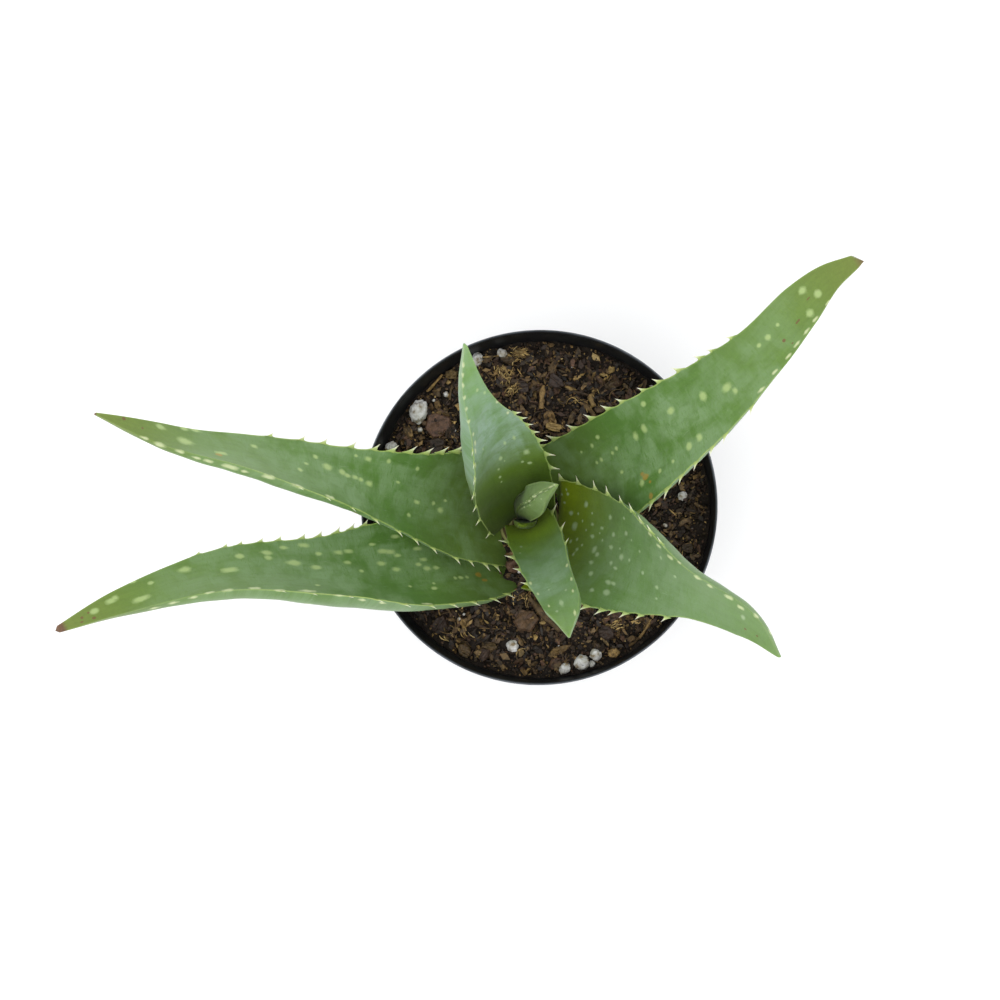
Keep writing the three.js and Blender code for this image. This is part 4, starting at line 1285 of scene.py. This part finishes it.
def soilHeight(x, y):
    out = np.hypot(x, y) / wallRadius(soil["level"])
    near = np.hypot(x - stem["x"], y - stem["y"]) / soil["crownReach"]
    height = soil["level"] + soil["crown"] * np.exp(-near * near) - soil["sag"] * out ** 6
    moundX, moundY, reach, high = soil["mound"]
    height = height + high * np.exp(-((x - moundX) ** 2 + (y - moundY) ** 2) / reach ** 2)
    for high, alongX, alongY in soil["lumps"]:
        height = height + high * np.sin(x * alongX + y * alongY)
    return height


def soilBed():
    # a round of mix with a crumbly top, filling the pot to its floor
    sides = soil["sides"]
    turns = [2 * math.pi * side / sides for side in range(sides)]
    reach = soilReach()
    points = []
    for ring in range(1, soil["rings"] + 1):
        out = reach * ring / soil["rings"]
        for angle in turns:
            x, y = out * math.cos(angle), out * math.sin(angle)
            rough = noise.fractal(Vector((x, y, 0)) * soil["crumbTurn"], *soil["crumbNoise"])
            points.append((x, y, float(soilHeight(x, y)) - soil["bedDrop"] + soil["crumbHeight"] * rough))
    bottom = pot["floor"] + pot["recessDepth"] + soil["wallGap"]
    levels = [*soil["bedRings"], bottom + pot["fillet"], bottom]
    for height in levels:
        out = wallRadius(height) - pot["wall"] - soil["wallGap"] - (pot["fillet"] if height == bottom else 0)
        points += [(out * math.cos(angle), out * math.sin(angle), height) for angle in turns]
    rings = soil["rings"] + len(levels)
    faces = ringFaces(rings, sides, turned=True)
    centre = len(points)
    points += [(0, 0, float(soilHeight(0, 0)) - soil["bedDrop"]), (0, 0, bottom)]
    for side in range(sides):
        n = (side + 1) % sides
        faces.append((centre, side, n))
        faces.append((centre + 1, (rings - 1) * sides + n, (rings - 1) * sides + side))
    return np.array(points), faces


def pebble(detail, blocky, roughness, seed):
    # a unit lump: an icosphere pushed towards a block and roughened by coarse and fine noise
    coarse, fine, fineShare = 1.7, 4.3, 0.25
    shape = bmesh.new()
    bmesh.ops.create_icosphere(shape, subdivisions=detail, radius=0.5)
    points = []
    for vertex in shape.verts:
        p = vertex.co * 2
        q = Vector([math.copysign(abs(c) ** blocky, c) for c in p]) * 0.5
        q *= 1 + roughness * noise.noise(p * coarse + Vector((seed * 3.7, seed, 0)))
        q += q.normalized() * roughness * fineShare * noise.noise(p * fine + Vector((seed, 0, seed * 2.1)))
        points.append(q)
    faces = [[v.index for v in f.verts] for f in shape.faces]
    shape.free()
    return np.array(points), faces


def flake(corners, rings, around, seed):
    # a unit bark chip: an angular plate with a split, layered face and ragged sides
    draw = np.random.default_rng(seed)
    jitter, slant = chip["jitter"], chip["slant"]
    turns = (np.arange(corners) + draw.uniform(-jitter, jitter, corners)) * 2 * math.pi / corners
    reach = draw.uniform(*chip["reach"], corners) * chip["size"]
    corner = np.column_stack([np.cos(turns), np.sin(turns)]) * reach[:, None]
    spot = np.arange(around) / around * corners
    first = spot.astype(int)
    outline = corner[first] + (corner[(first + 1) % corners] - corner[first]) * (spot - first)[:, None]
    slope = draw.uniform(-slant, slant, 2)
    points = [(0, 0, 0.5)]
    for ring in range(1, rings + 1):
        for x, y in outline * ring / rings * (chip["rim"] if ring == rings else 1):
            split = noise.noise(Vector((x * 3, y * 9, seed * 3.1))) if rings > 1 else draw.uniform(-0.5, 0.5)
            points.append((x, y, chip["face"] + chip["split"] * split + slope[0] * x + slope[1] * y))
    for level, wider in chip["levels"]:
        for x, y in outline * wider:
            points.append((x * draw.uniform(*chip["ragged"]), y * draw.uniform(*chip["ragged"]), level))
    points.append((0, 0, -0.5))
    faces = [(0, 1 + k, 1 + (k + 1) % around) for k in range(around)]
    faces += ringFaces(rings + 2, around, start=1, turned=True)
    last = 1 + (rings + 1) * around
    faces += [(last + around, last + (k + 1) % around, last + k) for k in range(around)]
    return np.array(points), faces


def scatter(lumps, forms, draw):
    # copies of the unit lumps, each (x, y, z, long, wide, thick, lean, tip, turn, tone), and their tones
    points, faces, tones = [], [], []
    start = 0
    for lump in lumps:
        form, formFaces = forms[int(draw.integers(len(forms)))]
        x, y, z, long, wide, thick, lean, tip, turn, tone = lump
        spin = (Matrix.Rotation(turn, 3, "Z") @ Matrix.Rotation(tip, 3, "Y") @ Matrix.Rotation(lean, 3, "X"))
        moved = (form * (long, wide, thick)) @ np.array(spin).T + (x, y, z)
        points.append(moved)
        faces += [[i + start for i in f] for f in formFaces]
        start += len(moved)
        tones.append(np.tile((tone, *draw.uniform(0, 1, 2)), (len(moved), 1)))
    return np.vstack(points), faces, np.vstack(tones)


# Potting mix: damp peat and composted bark, dark brown, matt, with dry tan splinters.
def barkMaterial(name, stops, grain, roughness):
    material, tree = newMaterial(name)
    place = addNode(tree, "TexCoord").outputs["Object"]
    tone = addNode(tree, "VertexColor", {"layer_name": "tone"})
    pick = addNode(tree, "SeparateColor", links={"Color": tone}).outputs
    colour = addNode(tree, "ValToRGB", {"stops": stops}, {"Fac": pick["Red"]})
    shifted = addNode(tree, "VectorMath", {"operation": "ADD"}, {0: place, 1: tone})
    layers = addNode(tree, "TexNoise", {"Scale": grain, "Detail": 6, "Roughness": 0.7},
                     {"Vector": shifted})  # about 1 mm
    shade = addNode(tree, "MapRange",
                    {"From Min": 0.32, "From Max": 0.68, "To Min": 0.28, "To Max": 1.45}, {"Value": layers})
    each = addNode(tree, "MapRange", {"To Min": 0.4, "To Max": 1.6}, {"Value": pick["Green"]})
    both = addNode(tree, "Math", {"operation": "MULTIPLY"}, {0: shade, 1: each})
    final = addNode(tree, "VectorMath", {"operation": "SCALE"}, {0: colour, "Scale": both})
    bump = addNode(tree, "Bump", {"Strength": 0.8, "Distance": 0.0004}, {"Height": layers})
    shader = addNode(tree, "BsdfPrincipled", {"Roughness": roughness, "IOR": 1.5},
                     {"Base Color": final, "Normal": bump})
    addNode(tree, "OutputMaterial", links={"Surface": shader})
    return material


# Perlite: volcanic glass popped by heat, chalk white and full of tiny pits.
def perliteMaterial():
    material, tree = newMaterial("expanded_perlite")
    place = addNode(tree, "TexCoord").outputs["Object"]
    pits = addNode(tree, "TexVoronoi", {"Scale": 1600}, {"Vector": place})  # 0.6 mm pits
    stain = addNode(tree, "TexNoise", {"Scale": 500, "Detail": 4}, {"Vector": place})  # 2 mm
    colour = addNode(tree, "ValToRGB",
                     {"stops": [(0.34, "#7b6c52"), (0.45, "#b1aea5"), (0.65, "#d2d2d0")]}, {"Fac": stain})
    bump = addNode(tree, "Bump", {"Strength": 0.6, "Distance": 0.0003}, {"Height": pits})
    shader = addNode(tree, "BsdfPrincipled", {"Roughness": 0.8, "IOR": 1.5},
                     {"Base Color": colour, "Normal": bump})
    addNode(tree, "OutputMaterial", links={"Surface": shader})
    return material


def fibreTube(x, y, turn, length, radius, bend, lift, sides=6, steps=12):
    # a thin bent fibre, stick or root lying on the mix
    points = []
    for step in range(steps + 1):
        s = step / steps - 0.5
        heading = turn + bend * s
        px = x + length * s * math.cos(heading)
        py = y + length * s * math.sin(heading)
        pz = float(soilHeight(px, py)) + lift * (1 - fibre["arch"] * s * s) + fibre["rest"]
        across = Vector((-math.sin(heading), math.cos(heading), 0))
        thin = radius * (1 - fibre["taper"] * s * s) * (1 + fibre["knots"] * math.sin(9 * s + 7 * x))
        for k in range(sides):
            a = 2 * math.pi * k / sides
            p = Vector((px, py, pz)) + across * thin * math.cos(a) + Vector((0, 0, thin * math.sin(a)))
            points.append(p[:])
    faces = ringFaces(steps + 1, sides, turned=True)
    faces.append(list(range(sides)))
    faces.append([steps * sides + k for k in reversed(range(sides))])
    return points, faces


def makeFibres(draw, spotFor, material):
    points, faces, tones = [], [], []

    def lay(tone, *shape, **rest):
        made, madeFaces = fibreTube(*shape, **rest)
        faces.extend([i + len(points) for i in f] for f in madeFaces)
        points.extend(made)
        tones.extend([(tone, *draw.uniform(0, 1, 2))] * len(made))

    for x1, y1, x2, y2, thick, tone in sticks:
        lay(tone, (x1 + x2) / 2, (y1 + y2) / 2, math.atan2(y2 - y1, x2 - x1), math.hypot(x2 - x1, y2 - y1),
            thick / 2, bend=draw.uniform(-0.3, 0.3), lift=0.5, sides=8, steps=18)
    for _ in range(fibre["count"]):
        length = draw.uniform(*fibre["long"])
        x, y = spotFor(length * 1.1)
        lay(draw.uniform(*fibre["tone"]), x, y, draw.uniform(0, soil["fullTurn"]), length,
            draw.uniform(*fibre["radius"]), draw.uniform(*fibre["bend"]), draw.uniform(*fibre["lift"]))
    for x, y, spread, count in tangles:
        for _ in range(count):
            lay(draw.uniform(*shred["tone"]), x + draw.normal(0, spread * shred["acrossX"]),
                y + draw.normal(0, spread * shred["acrossY"]), draw.normal(x, shred["turn"]),
                draw.uniform(*shred["long"]), draw.uniform(*shred["radius"]), draw.uniform(*shred["bend"]),
                draw.uniform(*shred["lift"]), sides=5, steps=6)
    piece = newPiece("coirAndSticks", points, faces, material, "mix", "soil")
    paintPoints(piece.data, "tone", *np.array(tones).T)


def makeSoil():
    draw = np.random.default_rng(23)
    inner = soilReach()

    def spotFor(size):
        out = (inner - size * soil["wallClear"][0]) * math.sqrt(draw.uniform(0, 1))
        angle = draw.uniform(0, 2 * math.pi)
        return out * math.cos(angle), out * math.sin(angle)

    graph = bpy.context.evaluated_depsgraph_get()
    leafTrees = [BVHTree.FromObject(bpy.data.objects[name + "Leaf"], graph) for name in leaves]

    def addIfClear(lumps, lump):
        # loose pieces don't stick in the leaves
        spot = Vector(lump[:3]) * mm
        reach = soil["clear"] * lump[3] * mm
        if all(tree.find_nearest(spot, reach)[0] is None for tree in leafTrees):
            lumps.append(lump)

    def lumpAt(x, y, lift, long, wide, thick, lean, tone, turn=None):
        spin = draw.uniform(0, soil["fullTurn"]) if turn is None else turn
        held = min(1, (inner - soil["wallClear"][1] * long) / math.hypot(x, y))
        x, y = x * held, y * held
        height = float(soilHeight(x, y)) + lift
        return (x, y, height, long, wide, thick, draw.normal(0, lean), draw.normal(0, lean), spin, tone)

    bedMaterial = barkMaterial("damp_peat", [(0.0, "#22180e"), (1.0, "#22180e")], 1300, 0.95)
    bed = newPiece("soilBed", *soilBed(), bedMaterial, "mix", "soil")
    paintPoints(bed.data, "tone", 0.5, 0.45, 0.2)

    lumps = {name: [] for name in loose}
    lumps["barkFlakes"] = [lumpAt(x, y, 0.6, long, wide, thick, lean=0.14, tone=tone, turn=turn)
                           for x, y, long, wide, thick, turn, tone in bark]
    for name, kind in loose.items():
        isFlake = name == "barkFlakes"
        for _ in range(kind["count"]):
            long = draw.uniform(*kind["long"])
            x, y = spotFor(long)
            lift = kind["lift"] if isFlake else draw.uniform(*kind["lift"])
            wide = long * draw.uniform(*kind["wide"])
            thick = draw.uniform(*kind["thick"]) * (1 if isFlake else long)
            tone = draw.beta(*kind["tone"])
            addIfClear(lumps[name], lumpAt(x, y, lift, long, wide, thick, kind["lean"], tone))

    barkStops = [(0.0, "#1d150d"), (0.2, "#2d2115"), (0.36, "#4a3323"), (0.5, "#4e3c22"), (0.66, "#66502e"),
                 (0.8, "#866c3f"), (0.92, "#a88c55"), (1.0, "#c2a972")]
    barkOf = barkMaterial("composted_bark", barkStops, 900, 0.6)
    forms = {
        "barkFlakes": [flake(5 + seed % 3, rings=7, around=42, seed=seed) for seed in range(10)],
        "barkChips": [flake(4 + seed % 3, 1, 4 + seed % 3, seed=seed + 20) for seed in range(24)],
        "peatCrumbs": [pebble(1, blocky=0.8, roughness=0.6, seed=seed + 40) for seed in range(8)],
    }
    for name, wanted in lumps.items():
        points, faces, tones = scatter(wanted, forms[name], draw)
        piece = newPiece(name, points, faces, barkOf, "mix", "soil", sharp=25)
        paintPoints(piece.data, "tone", *tones.T)
        print(name, len(faces), "faces")

    grains = [lumpAt(x, y, 0.25 * thick, long, wide, thick, lean=0.1, tone=0.5)
              for x, y, long, wide, thick in perlite]
    lift, wide, thick = soil["dotShape"]
    for _ in range(soil["dots"]):
        long = draw.uniform(*soil["dotSize"])
        x, y = spotFor(long)
        grains.append(lumpAt(x, y, lift, long, long * wide, long * thick, lean=0.3, tone=0.5))
    pops = [pebble(4, blocky=0.95, roughness=0.22, seed=seed + 60) for seed in range(7)]
    points, faces, _ = scatter(grains, pops, draw)
    newPiece("perliteGrains", points, faces, perliteMaterial(), "mix", "soil", sharp=60)
    makeFibres(draw, spotFor, barkMaterial("coir_and_twigs", barkStops, 900, 0.75))


makeSoil()
print("potting mix ready")
